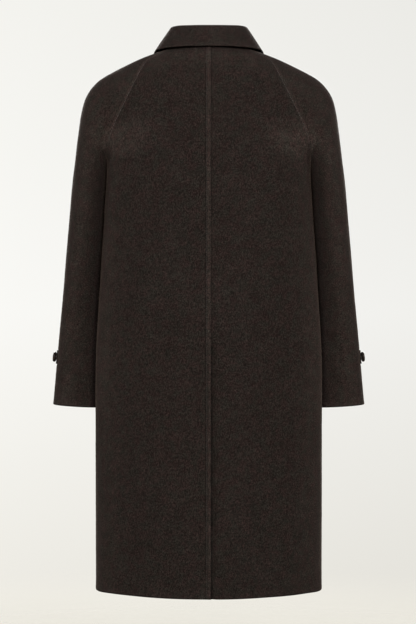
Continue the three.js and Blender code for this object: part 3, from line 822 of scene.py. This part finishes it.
def spot_on(grid, outer, z, column):
    """The point, normal and direction across of a finished surface at a height.

    column holds for each row how many columns in the point lies.
    """
    k = np.arange(len(outer))
    low = np.clip(column.astype(int), 0, outer.shape[1] - 2)
    t = (column - low)[:, None]
    line = outer[k, low] * (1 - t) + outer[k, low + 1] * t
    normal = grid["normals"][k, low] * (1 - t) + grid["normals"][k, low + 1] * t
    way = outer[k, low + 1] - outer[k, low]
    order = np.argsort(line[:, 2])
    point, normal, way = (at_lengths(values[order], line[order, 2], z) for values in (line, normal, way))
    return point, unit(normal), unit(way)


def buttonhole(name, grid, outer, z, mirrored):
    """Close stitches round a slit that runs across the cloth, with a fan at either end."""
    threads = []

    def sew(across, turns):
        column = [np.interp(across, row, np.arange(len(row))) for row in grid["across"]]
        point, normal, way = spot_on(grid, outer, z, np.array(column))
        down = unit(np.cross(normal, way))
        for turn in turns:
            out = way * math.cos(turn) + down * math.sin(turn)
            threads.append((point + out * HOLE["slit"], point + out * HOLE["bite"], normal))

    for across in np.arange(HOLE["start"], HOLE["stop"] + 0.01, HOLE["pitch"]):
        sew(across, (-math.pi / 2, math.pi / 2))
    for end, turn in ((HOLE["start"], math.pi), (HOLE["stop"], 0.0)):
        sew(end, [turn + k * math.pi / 8 for k in range(-3, 4)])
    return sewn_mesh(name, threads, HOLE["radius"], 0.3, mirrored)


def column_at(grid, key, distance):
    """The column that lies at a distance from a border."""
    return int(np.argmin(np.abs(np.median(grid[key], axis=0) - distance)))


def cut_of(outer):
    """Flat width, length and area of a grid, in metres."""
    right, below = np.diff(outer, axis=1), np.diff(outer, axis=0)
    across = np.linalg.norm(right, axis=2).sum(axis=1).max()
    down = np.linalg.norm(below, axis=2).sum(axis=0).max()
    area = np.linalg.norm(np.cross(right[:-1], below[:, :-1]), axis=2).sum()
    return round(across * MM, 3), round(down * MM, 3), round(area * MM * MM, 4)


def cloth(name, grid, outer, thickness, light, mirrored, lines=(), turned=False):
    """Makes a layer of cloth and its stitches, and works out its flat width, length and area.

    turned is for cloth whose flat width is measured down its rows, and its length across them.
    """
    obj = dress(shell(name + "_cloth", grid, outer, thickness, light, mirrored), name)
    sewn = [stitches(name + "_stitches", lines, mirrored)] if lines else []
    width, length, area = cut_of(outer)
    if turned:
        width, length = length, width


def line_of(outer, grid, column, rows=slice(None)):
    """Points and normals along a column of a finished surface."""
    return outer[rows, column], grid["normals"][rows, column]


def hem_line(across, z):
    """How far the hem of the back hangs from level: lowest at the centre, highest near the sides."""
    off = np.abs(across)
    rise = HEM_HANG["sides"] - HEM_HANG["centre"]
    hang = HEM_HANG["centre"] + rise * step(10, 200, off) - HEM_HANG["sides"] * step(205, 255, off)
    return step(HEM + 260, HEM, z) * hang


def painted_side_light(grid):
    """Painted light towards the side seam, most where the sleeve hangs over it and shades the body."""
    z, far = grid["points"][..., 2], grid["far"]
    below_arm = step(UNDERARM + 95, UNDERARM + 35, z)
    beside_sleeve = below_arm * step(-740, -690, z)
    behind_sleeve = 0.3 * step(110, 50, far) + 0.5 * step(50, 0, far)
    return below_arm * NAP_AND_PAINTED_LIGHT["side"] * step(145, 65, far) + beside_sleeve * behind_sleeve


def vent_open(z):
    """0 where the centre back is sewn and 1 where the vent is open."""
    return step(VENT_TOP + VENT_BLEND, VENT_TOP - VENT_BLEND, z)


def vent_stay(x, z):
    """Depth of the slanting line of stitches that holds the top of the vent."""
    slope, end = VENT_STAY["slope"], VENT_STAY["length"]
    off = (x - VENT_STAY["x"]) * math.sin(slope) + (z - VENT_STAY["z"]) * math.cos(slope)
    return VENT_STAY["depth"] * step(0, 6, x) * step(end, end - 6, x) * bump(off, 0, VENT_STAY["width"])


def back_underlap(z):
    """How far the right back runs under the left one: further where the vent is open."""
    return BACK_UNDERLAP + (VENT_UNDERLAP - BACK_UNDERLAP) * float(vent_open(z))


def soft_body(side, lap_at, first, creases, seed):
    """A body panel's grid, the surface before sewing, and the height of its creases over it."""
    grid = body_grid(side, lap_at, first)
    soft = creased(grid, creases) + ripples(grid, seed)
    soft *= step(0, 60, grid["top"]) * step(2, 40, grid["far"] + 12)
    return grid, reach_out(grid, 0.0, SEAM_BITE), soft


def back_panel(word, over):
    """One back panel. The left one laps over the right one down the whole centre back."""
    seed = 11 if over else 12
    if over:
        grid, base, height = soft_body(-1, lambda z: BACK_LAP, border_columns(BACK_BAND, LAP_REACH),
                                       BACK_LEFT_CREASES, seed)
    else:
        first = np.r_[rim(), spaced([EDGE, 8, 60], [1.7, 2.0])[1:]]
        grid, base, height = soft_body(-1, back_underlap, first, BACK_RIGHT_CREASES, seed)
    x, z, near, run = grid["across"], grid["points"][..., 2], grid["near"], grid["top"]
    height += band(grid["far"], RAGLAN_BAND, run, seed + 20)
    # The raglan band is lighter from pressed nap and a painted highlight; painted light lifts the sides and
    # the top near the neck.
    light = NAP_AND_PAINTED_LIGHT["seam"] * bump(grid["far"], 2.6, 2.3) * step(UNDERARM - 60, UNDERARM + 20, z)
    light += painted_side_light(grid) + NAP_AND_PAINTED_LIGHT["neck"] * step(NECK_BACK - 75, NECK_BACK - 5, z)
    thickness = CLOTH + raised(grid["far"], RAGLAN_BAND)
    free = vent_open(z)
    if over:
        height += band(near, BACK_BAND, run, seed + 30) + VENT_CURL * free * step(8, 0, near)
        thickness += raised(near, BACK_BAND)
        # Pressed nap and a painted highlight along the centre band, and painted shade in the groove beside
        # it.
        sewn_line = bump(near, 4.4, 2.8) + 0.15 * band_press_and_highlight(near, BACK_BAND)
        light += NAP_AND_PAINTED_LIGHT["centre"] * (sewn_line * (1 - free) + bump(near, 3.4, 2.3) * free)
        light -= 0.35 * bump(near, BACK_BAND + 1.4, 1.3)
        height -= vent_stay(x, z)
    else:
        height -= SEWN_DROP * step(5.4, 3.6, x) * (1 - free) + LAP_DROP * step(17, 5, x) * free
        # Painted shadow under the free edge of the vent, and painted shade along the sewn edge above it.
        light -= (0.45 * bump(x, 5.6, 1.6) + 0.4 * step(5.5, 3.5, x)) * free
        light -= 0.2 * bump(x, 5.6, 1.2) * (1 - free)
    height += HEM_ROLL * step(8.5, 5.5, grid["foot"])
    outer = base + grid["normals"] * height[..., None]
    outer[..., 2] += hem_line(x, z)
    light -= HEM_SHADE * step(2.6, 0.4, grid["foot"])
    seam = column_at(grid, "far", RAGLAN_BAND)
    below_arm = int(np.argmax(z[:, -1] < UNDERARM)) + 1
    lines = [line_of(outer, grid, seam, rows) for rows in (slice(below_arm), slice(below_arm, None))]
    if over:
        lines.append(line_of(outer, grid, column_at(grid, "near", BACK_BAND)))
    cloth(f"back_{word}", grid, outer, thickness, light, over,
          lines)
    return grid, outer


def front_panel(word, over):
    """One front panel. The left one laps over the right one and has the buttonholes."""
    seed = 13 if over else 14
    first = border_columns(FRONT_BAND, LAP_REACH)
    if not over:
        first = np.r_[rim(), spaced([EDGE, 48, 74], [3.2, 1.8])[1:]]
    grid, base, height = soft_body(1, lambda z: FRONT_LAP, first,
                                   FRONT_LEFT_CREASES if over else FRONT_RIGHT_CREASES, seed)
    near = grid["near"]
    height += plain_seam(grid["far"])
    # A painted highlight along the side seam, and painted light towards it.
    light = NAP_AND_PAINTED_LIGHT["edge"] * band_press_and_highlight(grid["far"], 3.0) + painted_side_light(grid)
    thickness = np.full_like(near, CLOTH)
    if over:
        height += band(near, FRONT_BAND, grid["top"], seed + 30)
        thickness += raised(near, FRONT_BAND)
        # The front edge band is lighter from pressed nap and a painted highlight.
        light += NAP_AND_PAINTED_LIGHT["front"] * bump(near, 4.0, 3.2)
    else:
        height -= LAP_DROP * step(FRONT_LAP + 13, FRONT_LAP + 1, grid["across"])
    height += HEM_ROLL * step(8.5, 5.5, grid["foot"])
    outer = base + grid["normals"] * height[..., None]
    light -= HEM_SHADE * step(2.6, 0.4, grid["foot"])
    lines = []
    if over:
        lines.append(line_of(outer, grid, column_at(grid, "near", FRONT_BAND)))
        for n in range(FRONT_BUTTONS["count"]):
            z = FRONT_BUTTONS["top"] - n * FRONT_BUTTONS["spacing"]
            buttonhole(f"buttonhole_{n + 1}", grid, outer, z, over)
    cloth(f"front_{word}", grid, outer, thickness, light, over,
          lines)
    return grid, outer


def sleeve_panel(word, side, mirrored):
    """One half of a sleeve. The back half has the raised band along the top of the arm."""
    behind = side < 0
    half = "back" if behind else "front"
    grid = sleeve_grid(side)
    z, near, far, run = grid["points"][..., 2], grid["near"], grid["far"], grid["top"]
    seed = (21 if behind else 23) + (1 if mirrored else 0)
    creases = SLEEVE_BACK_CREASES if behind else SLEEVE_FRONT_CREASES
    height = creased(grid, creases, 0.85 if mirrored else 1.0) + ripples(grid, seed, 0.3)
    height *= step(0, 60, run) * step(0, 30, far) * step(0, 30, near)
    # Painted light: the sleeve's wool is made lighter, less so over the shoulder.
    light = NAP_AND_PAINTED_LIGHT["sleeve"] * (1 - 0.55 * step(UNDERARM + 20, UNDERARM + 130, z))
    thickness = np.full_like(run, CLOTH)
    if behind:
        height += band(near, ARM_BAND, run, seed + 30)
        thickness += raised(near, ARM_BAND)
        # Pressed nap and a painted highlight on the band along the top of the arm, and a painted highlight
        # along that top.
        light += NAP_AND_PAINTED_LIGHT["arm"] * bump(near, 2.6, 2.3) + 0.3 * step(46, 4, near)
        # Painted light that lifts the sleeve's inner side, where the body shades it.
        painted_fill_light = 0.75 * step(85, 20, far) + 1.5 * step(30, 4, far)
        light += painted_fill_light * step(UNDERARM + 80, UNDERARM + 20, z)
        line, rows = column_at(grid, "near", ARM_BAND), slice(None)
    else:
        over_body = step(UNDERARM - 10, UNDERARM + 20, z)
        height += plain_seam(near) + band(far, RAGLAN_BAND, run, seed + 50) * over_body
        # Pressed nap and a painted highlight on the raglan band.
        light += NAP_AND_PAINTED_LIGHT["lap"] * bump(far, 2.6, 2.3) * over_body
        line, rows = column_at(grid, "far", RAGLAN_BAND), slice(int(np.argmax(z[:, -1] < UNDERARM)))
    height += plain_seam(far) * step(UNDERARM - 20, UNDERARM - 60, z)
    height += CUFF_ROLL * step(7.5, 5.0, grid["foot"])
    under_tab = step(TAB["top"] + 4, TAB["top"] - 1, z) * step(TAB["bottom"] - 4, TAB["bottom"] + 1, z)
    tab_end = 14 if behind else 70
    height -= TAB_BED * under_tab * step(tab_end, tab_end - 6, near)
    outer = reach_out(grid, SEAM_BITE, SEAM_BITE) + grid["normals"] * height[..., None]
    # A painted highlight just above the cuff's turned edge, and painted shade at the edge itself.
    light += 0.2 * step(16, 5, grid["foot"]) - CUFF_SHADE * step(3.0, 0.4, grid["foot"])
    cloth(f"sleeve_{word}_{half}", grid, outer, thickness, light, mirrored,
          [line_of(outer, grid, line, rows)])
    return grid, outer


def neck_curve(body_back, sleeve_back, sleeve_front, body_front):
    """The neck seam from the centre back, over the shoulder, to the centre front, in one line."""
    back, front = (grid["points"][0][grid["across"][0] >= 0] for grid in (body_back, body_front))
    arm_back, arm_front = sleeve_back["points"][0][::-1], sleeve_front["points"][0]
    return np.vstack([back, arm_back[1:-1], arm_front[:-1], front[::-1]])


def collar_point(name, at):
    return np.stack([smooth(COLLAR["at"], COLLAR[f"{name}_{axis}"], at) for axis in "xyz"], -1)


def fold_frame(at):
    """The fold of the collar, with the directions out from it and up from it."""
    run = collar_point("fold", np.minimum(at + 0.01, 1)) - collar_point("fold", np.maximum(at - 0.01, 0))
    run = np.where((at <= 0)[:, None], np.array([1.0, 0, 0]), run)
    out = unit(np.cross(run, [0, 0, 1]))
    return collar_point("fold", at), out, unit(np.cross(out, run))


def through(points, count):
    """A smooth line through a few points, for many sections at once: (sections, points, 3)."""
    keys = np.arange(points.shape[1])
    order = np.r_[0, keys, len(keys) - 1]
    gaps = (order[2:] - order[:-2])[None, :, None]
    slopes = (points[:, order[2:]] - points[:, order[:-2]]) / gaps
    t = np.linspace(0, keys[-1], count)
    i = np.clip(t.astype(int), 0, len(keys) - 2)
    u = (t - i)[None, :, None]
    u2, u3 = u * u, u * u * u
    ends = points[:, i] * (2 * u3 - 3 * u2 + 1) + points[:, i + 1] * (3 * u2 - 2 * u3)
    return ends + slopes[:, i] * (u3 - 2 * u2 + u) + slopes[:, i + 1] * (u3 - u2)


def collar_places():
    """Places round the collar from the centre back to the front end, close at the end."""
    half, close = COLLAR_HALF, 8
    marks = np.r_[spaced([0, half - close - 1], [2.4]), half - close + spaced([0, close - EDGE], [1.2]),
                  half - rim()[::-1]]
    return np.unique(np.round(marks / half, 7))


def collar_grid(half, first, last, gap, probe):
    """The grid of a whole collar from its right half. probe is a column that faces back behind."""
    left = half[1:][::-1] * np.array([-1, 1, 1])
    curves = list(np.concatenate([left, half]))
    grid = add_distances(panel(curves, [lengths(curve) for curve in curves], first, last, gap), -1)
    if grid["normals"][len(curves) // 2, probe][1] > 0:
        grid["normals"] *= -1
    return grid


def collar_fall():
    """The part that is turned down over the stand, from its roll to its edge."""
    at = collar_places()
    fold, out, up = fold_frame(at)
    section = [fold + out * o + up * u for o, u in zip(ROLL["out"], ROLL["up"])]
    start, edge = section[-1], collar_point("edge", at)
    bow = unit(out * FALL_BOW["out"] + up * FALL_BOW["up"])
    section += [start + (edge - start) * share + bow * FALL_BOW["depth"] * math.sin(math.pi * share)
                for share in (0.5, 1.0)]
    first = np.r_[rim(), spaced([EDGE, 6], [1.2])[1:]]
    grid = collar_grid(through(np.stack(section, 1), 160), first, border_columns(COLLAR_BAND, 12), 2.2, -20)
    x, z, near, far = grid["points"][..., 0], grid["points"][..., 2], grid["near"], grid["far"]
    roll = step(0, 20, near)
    height = 0.5 * np.sin(x / 41 + 0.7) * step(4, 30, far) * roll
    height += 0.35 * np.sin(x / 17 + z / 23) * step(6, 24, far) * roll
    outer = grid["points"] + grid["normals"] * height[..., None]
    ends = np.minimum(grid["top"], grid["foot"])
    # Painted light on the whole fall, painted highlights along its edges and ends, and along its roll.
    light = NAP_AND_PAINTED_LIGHT["collar"] + NAP_AND_PAINTED_LIGHT["edge"] * (step(3.0, 0.6, far) + step(3, 0.6, ends))
    light += NAP_AND_PAINTED_LIGHT["roll"] * bump(near, 9, 5)
    cloth("collar_fall", grid, outer, np.full_like(x, FALL_CLOTH), light, False,
          turned=True)


def collar_stand(line):
    """The upright part of the collar, from the neck seam up into the fold."""
    at_line = lengths(line) / lengths(line)[-1]
    at = collar_places()
    fold, out, up = fold_frame(at)
    foot = at_lengths(line, at_line, at) + [0, 0, STAND_LIFT] - out * 2.6 - up * 3.6
    foot[-1, 0] = max(foot[-1, 0], COLLAR_END)
    top = fold + out * STAND_TOP[0] + up * STAND_TOP[1]
    share = np.linspace(0, 1, 60)[None, :, None]
    dense = top[:, None] * (1 - share) + foot[:, None] * share
    dense[..., 0] -= (dense[-1, :, 0] - STAND_END) * step(0.86, 1, at)[:, None]
    border = np.r_[rim(), spaced([EDGE, 4], [1.4])[1:]]
    grid = collar_grid(dense, border, border, 2.4, 5)
    outer = grid["points"]
    thickness, light = np.full(outer.shape[:2], CLOTH), np.zeros(outer.shape[:2])
    cloth("collar_stand", grid, outer, thickness, light, False,
          turned=True)


def tab_on(word, back, front, mirrored):
    """The strap round the cuff: it follows the sleeve's own surface, lifted by its thickness."""
    height, before, behind = TAB["top"] - TAB["bottom"], TAB["before"], TAB["behind"]
    across = np.r_[-behind + rim(), spaced([-behind + EDGE, before - EDGE], [1.6])[1:-1],
                   before - rim()[::-1]]
    inset = 4.6
    down = np.r_[rim(), spaced([EDGE, 3.0, inset], [0.95, 0.5])[1:],
                 spaced([inset, height - inset], [1.8])[1:],
                 height - inset + spaced([0, 1.6, inset - EDGE], [0.5, 0.95])[1:],
                 height - rim()[::-1][1:]]

    def place(d, a):
        # the buttoned end runs to a soft point, the sewn end is nearly square
        drawn_in = 1 - 0.1 * step(before - 13, before, a) ** 3 - 0.55 * step(7 - behind, -behind, a) ** 1.8
        z = TAB["top"] - (height / 2 + (d - height / 2) * drawn_in)
        grid, outer = front if a >= 0 else back
        hanging = np.median(grid["across"][-60:], axis=0)
        column = np.interp(abs(a), hanging, np.arange(len(hanging)))
        return spot_on(grid, outer, z, np.full(len(outer), column))[:2]

    spots = np.array([[place(d, a) for a in across] for d in down])
    base, normals = spots[:, :, 0], spots[:, :, 1]
    for _ in range(4):
        normals[:, 1:-1] = unit(normals[:, :-2] + 2 * normals[:, 1:-1] + normals[:, 2:])
        base[:, 1:-1] = (base[:, :-2] + 2 * base[:, 1:-1] + base[:, 2:]) / 4
    near, top = (np.broadcast_to(run, base.shape[:2]) for run in (across + behind, down[:, None]))
    grid = {"normals": normals, "near": near, "far": before + behind - near, "top": top,
            "foot": height - top}
    border = np.minimum.reduce([grid[key] for key in ("near", "far", "top", "foot")])
    sewn_at = TAB["sewn_at"]
    lift = 2.6 + 0.3 * step(sewn_at + 0.6, sewn_at - 0.6, border) - 0.35 * bump(border, sewn_at, 0.6)
    outer = base + normals * (lift + 0.175 * np.sin(near / 9.0))[..., None]
    # Painted light on the strap, twice as much at its borders.
    light = NAP_AND_PAINTED_LIGHT["tab"] * (1 + step(sewn_at + 0.4, sewn_at - 0.6, border))
    start, stop = (int(np.argmin(np.abs(across - end))) for end in (sewn_at - behind, before - sewn_at))
    high, low = (int(np.argmin(np.abs(down - end))) for end in (sewn_at, height - sewn_at))
    edges = [np.s_[high, start:stop], np.s_[low, start:stop], np.s_[high:low, stop],
             np.s_[high:low, start]]
    cloth(f"cuff_tab_{word}", grid, outer, np.full_like(near, CLOTH), light, mirrored,
          [(outer[edge], normals[edge]) for edge in edges], turned=True)


def lathe(profile, sides):
    """Rings of a turned shape, as points and quads; the axis is +Z."""
    radii, heights = np.array(profile, float).T
    x, y, z = np.eye(3)
    return rings(heights[:, None] * z, x, y, radii, sides), ring_walls(len(profile), sides)


def facing(direction):
    """Columns of a turn that takes +Z to a direction and keeps Z uppermost across the button."""
    w = unit(np.asarray(direction, float))
    v = unit(np.array([0.0, 0, 1]) - w * w[2])
    return np.stack([np.cross(v, w), v, w], 1)


def button_mesh(name, radius, height, hole_radius, hole_spread):
    """A turned button with a rounded rim, a dished face and four holes right through it."""
    rim_width = radius * 0.2
    flat = radius - rim_width
    dish = height * 0.24
    turns = np.linspace(-math.pi / 2, math.pi / 2, 9)
    edge = [(flat + rim_width * (0.45 + 0.55 * math.cos(turn)), height * 0.5 * (1 + math.sin(turn)))
            for turn in turns]
    face = [(flat + rim_width * 0.1, height * 0.97), (flat - rim_width * 0.3, height - dish * 0.75),
            (flat - rim_width * 0.9, height - dish), (flat * 0.5, height - dish * 1.1),
            (0.02, height - dish * 1.1)]
    solid = make_object(name + "_blank", *lathe([(0.02, 0.15), (flat * 0.5, 0.05), (flat, 0.0)]
                                                + edge + face, 48), horn)
    flare = hole_radius * 1.35
    post, walls = lathe([(0.01, -2), (hole_radius, -2), (hole_radius, height - dish * 1.35),
                         (flare, height - dish * 0.9), (flare, height + 3), (0.01, height + 3)], 16)
    turns = math.pi / 4 + math.pi / 2 * np.arange(4)
    posts = [(post + hole_spread * np.array([math.cos(turn), math.sin(turn), 0]), walls) for turn in turns]
    cutter = make_object(name + "_cutter", *join(posts), horn)
    for obj in (solid, cutter):
        close_poles(obj.data)
    boolean = solid.modifiers.new("holes", "BOOLEAN")
    boolean.operation = "DIFFERENCE"
    boolean.solver = "EXACT"
    boolean.object = cutter
    graph = bpy.context.evaluated_depsgraph_get()
    graph.update()
    cut = bpy.data.meshes.new_from_object(solid.evaluated_get(graph))
    for obj in (solid, cutter):
        bpy.data.objects.remove(obj, do_unlink=True)
    return cut


def close_poles(mesh):
    """Fills the two small holes that a turned shape leaves on its axis."""
    work = bmesh.new()
    work.from_mesh(mesh)
    bmesh.ops.contextual_create(work, geom=[e for e in work.edges if e.is_boundary])
    bmesh.ops.recalc_face_normals(work, faces=work.faces)
    work.to_mesh(mesh)
    work.free()


def tube(points, radius):
    """A round thread along a short line of points."""
    points = np.asarray(points, float)
    ahead = unit(np.gradient(points, axis=0))
    u = unit(np.cross(ahead, [0.31, 0.52, 0.79]))
    return rings(points, u, np.cross(ahead, u), radius, 6), ring_walls(len(points), 6)


def join(parts):
    """Several meshes of points and quads as one."""
    starts = np.cumsum([0] + [len(points) for points, _ in parts])
    return (np.vstack([points for points, _ in parts]),
            np.vstack([quads + start for (_, quads), start in zip(parts, starts)]))


def button_threads(height, spread, below):
    """Two pairs of threads over the face, down through the holes, and a wound shank under it."""
    face = height * 0.76
    x = spread * 0.707
    parts = []
    for row in (-1, 1):
        for lane in (-1, 0, 1):
            y = row * x + lane * 0.34
            over = face - 0.05 * abs(lane)
            half = [(-x, -below), (-x, face - 0.9), (-x * 0.93, face + 0.1), (-x * 0.5, over + 0.42)]
            path = [(along, y, z) for along, z in half + [(0, over + 0.5)]]
            path += [(-along, y, z) for along, z in half[::-1]]
            parts.append(tube(path, 0.24))
    turns = np.linspace(0, 2 * math.pi * 3, 60)
    wound = spread * 0.75
    coil = np.stack([wound * np.cos(turns), wound * np.sin(turns),
                     -below + (below + 0.2) * turns / turns[-1]], -1)
    return join(parts + [tube(coil, 0.28)])


def place_button(node, mesh, size, direction, sunk):
    """A button on its node, with its thread. sunk is how far its back lies behind the node's middle."""
    low, high = (np.array(corner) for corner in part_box(node))
    centre = (low + high) / 2 / MM - direction * sunk
    turn = facing(direction)
    data = mesh.copy()
    data.name = node + "_horn"
    co = np.empty(len(data.vertices) * 3, dtype=np.float32)
    data.vertices.foreach_get("co", co)
    co = co.reshape(-1, 3) @ turn.T + centre * MM
    data.vertices.foreach_set("co", co.astype(np.float32).ravel())
    data.update()
    data.polygons.foreach_set("use_smooth", np.ones(len(data.polygons), dtype=bool))
    dress(link(node + "_horn", data), node)
    verts, faces = button_threads(size["height"], size["spread"], size["below"])
    dress(make_object(node + "_thread", verts @ turn.T + centre, faces, thread), None)


right_back, left_back = (back_panel(word, over) for word, over in SIDES)
right_front, left_front = (front_panel(word, over) for word, over in SIDES)
right_sleeve_back, left_sleeve_back = (sleeve_panel(word, -1, left) for word, left in SIDES)
right_sleeve_front, left_sleeve_front = (sleeve_panel(word, 1, left) for word, left in SIDES)
collar_stand(neck_curve(left_back[0], left_sleeve_back[0], left_sleeve_front[0], left_front[0]))
collar_fall()
tab_on("right", right_sleeve_back, right_sleeve_front, False)
tab_on("left", left_sleeve_back, left_sleeve_front, True)

front_button, cuff_button = (
    button_mesh(name, size["radius"], size["height"], size["hole"], size["spread"])
    for name, size in (("front_button", FRONT_BUTTON), ("cuff_button", CUFF_BUTTON)))
for n in range(FRONT_BUTTONS["count"]):
    z = FRONT_BUTTONS["top"] - n * FRONT_BUTTONS["spacing"]
    tangent = unit(body_point(z + 5, 0.0, 1) - body_point(z - 5, 0.0, 1))
    place_button(f"front_button_{n + 1}", front_button, FRONT_BUTTON,
                 np.array([0, tangent[2], -tangent[1]]), 2.25)
for word, side in (("right", 1), ("left", -1)):
    place_button(f"cuff_button_{word}", cuff_button, CUFF_BUTTON,
                 unit(np.array([side * 0.985, 0.13, 0.12])), 1.6)


# The camera, the room and the lamps, in metres and watts.
CAMERA = {"place": (-0.0015, -3.7, -0.512), "lens": 106.7, "sensor": 36.0}
LAMP_TARGET = (0, 0, -0.4)
KEY_LAMP = {"place": (0.8, -3.9, 0.7), "size": 1.1, "power": 146}
SIDE_LAMP = {"place": (3.4, -1.3, 0.9), "size": 1.6, "power": 78}
FAR_LAMP = {"place": (1.1, 3.9, 0.9), "size": 1.2, "power": 185}


def photo_camera():
    """Level, straight behind the coat, framed as the photograph is."""
    data = bpy.data.cameras.new("camera")
    data.sensor_width = CAMERA["sensor"]
    data.lens = CAMERA["lens"]
    data.clip_end = 60.0
    camera = link("camera", data)
    camera.location = CAMERA["place"]
    camera.rotation_euler = (math.pi / 2, 0, 0)
    bpy.context.scene.camera = camera


# Light of the room by height of the direction, from straight down to straight up.
ROOM = [
    (0.0, (0.30, 0.29, 0.27)),
    (0.36, (0.50, 0.48, 0.44)),
    (0.415, (0.80, 0.78, 0.72)),
    (0.5, (0.915, 0.91, 0.88)),
    (0.585, (0.868, 0.862, 0.825)),
    (0.72, (0.90, 0.89, 0.87)),
    (1.0, (1.20, 1.19, 1.17)),
]
ROOM_LEAN = 0.06
FLOOR = {"z": -1.34, "tones": [(0.3, (0.243, 0.236, 0.210)), (0.7, (0.253, 0.245, 0.219))],
         "fade_from": 0.75, "fade_to": 2.3}


def room_light():
    """Light from all round, by height, and slightly more of it from the wearer's left."""
    world = bpy.data.worlds.new("room")
    world.use_nodes = True
    nodes = Nodes(world.node_tree)
    direction = nodes.add("ShaderNodeTexCoord").outputs["Generated"]
    parts = nodes.add("ShaderNodeSeparateXYZ", {0: direction})
    height = nodes.math("ADD", nodes.math("MULTIPLY", parts.outputs["Z"], 0.5), 0.5)
    lean = nodes.math("MINIMUM", nodes.math("MULTIPLY", parts.outputs["X"], -0.34), ROOM_LEAN)
    strength = nodes.math("ADD", nodes.math("MAXIMUM", lean, -ROOM_LEAN), 1.0)
    background = nodes.add("ShaderNodeBackground", {
        "Color": nodes.ramp(height, ROOM), "Strength": strength})
    nodes.add("ShaderNodeOutputWorld", {"Surface": background.outputs[0]})
    bpy.context.scene.world = world


def soft_lamp(name, kind, side, share):
    """A round lamp on one side, turned to the middle of the coat."""
    data = bpy.data.lights.new(name, "AREA")
    data.shape = "DISK"
    data.size = kind["size"]
    data.energy = kind["power"] * share
    lamp = link(name, data)
    lamp.location = kind["place"] * np.array([side, 1, 1])
    way = np.array(LAMP_TARGET) - lamp.location
    yaw = math.atan2(way[1], way[0]) - math.pi / 2
    pitch = math.atan2(way[2], math.hypot(way[0], way[1]))
    lamp.rotation_euler = (math.pi / 2 + pitch, 0, yaw)
    lamp.visible_camera = False


def pale_floor():
    """A pale floor below the held coat that fades into the room."""
    radii = [0.0005, 0.3, 0.6, 0.9, 1.2, 1.5, 1.8, 2.1, 2.4]
    verts, faces = lathe([(r / MM, FLOOR["z"] / MM) for r in radii], 96)
    material, nodes = new_material("pale_floor")
    place = nodes.add("ShaderNodeTexCoord").outputs["Object"]
    flat = nodes.turned(place, (0, 0, 0), (1, 1, 0))
    distance = nodes.add("ShaderNodeVectorMath", {0: flat}, operation="LENGTH").outputs["Value"]
    fade = nodes.add("ShaderNodeMapRange", {
        "Value": distance, "From Min": FLOOR["fade_from"], "From Max": FLOOR["fade_to"]},
        interpolation_type="SMOOTHSTEP").outputs[0]
    paint = nodes.add("ShaderNodeBsdfPrincipled", {
        "Base Color": nodes.ramp(nodes.noise(place, 60.0, 3.0, 0.5), FLOOR["tones"]),
        "Roughness": 0.9, "Specular IOR Level": 0.1})
    clear = nodes.add("ShaderNodeBsdfTransparent")
    blend = nodes.add("ShaderNodeMixShader", {0: fade, 1: paint.outputs[0], 2: clear.outputs[0]})
    nodes.add("ShaderNodeOutputMaterial", {"Surface": blend.outputs[0]})
    make_object("floor", verts, faces[:, ::-1], material)


photo_camera()
room_light()
pale_floor()
for word, side, share in (("left", -1, 0.9), ("right", 1, 1.12)):
    soft_lamp(f"{word}_key", KEY_LAMP, side, share)
    soft_lamp(f"{word}_side", SIDE_LAMP, side, share)
    soft_lamp(f"{word}_far", FAR_LAMP, side, 1)
bpy.context.scene.view_settings.view_transform = "Standard"
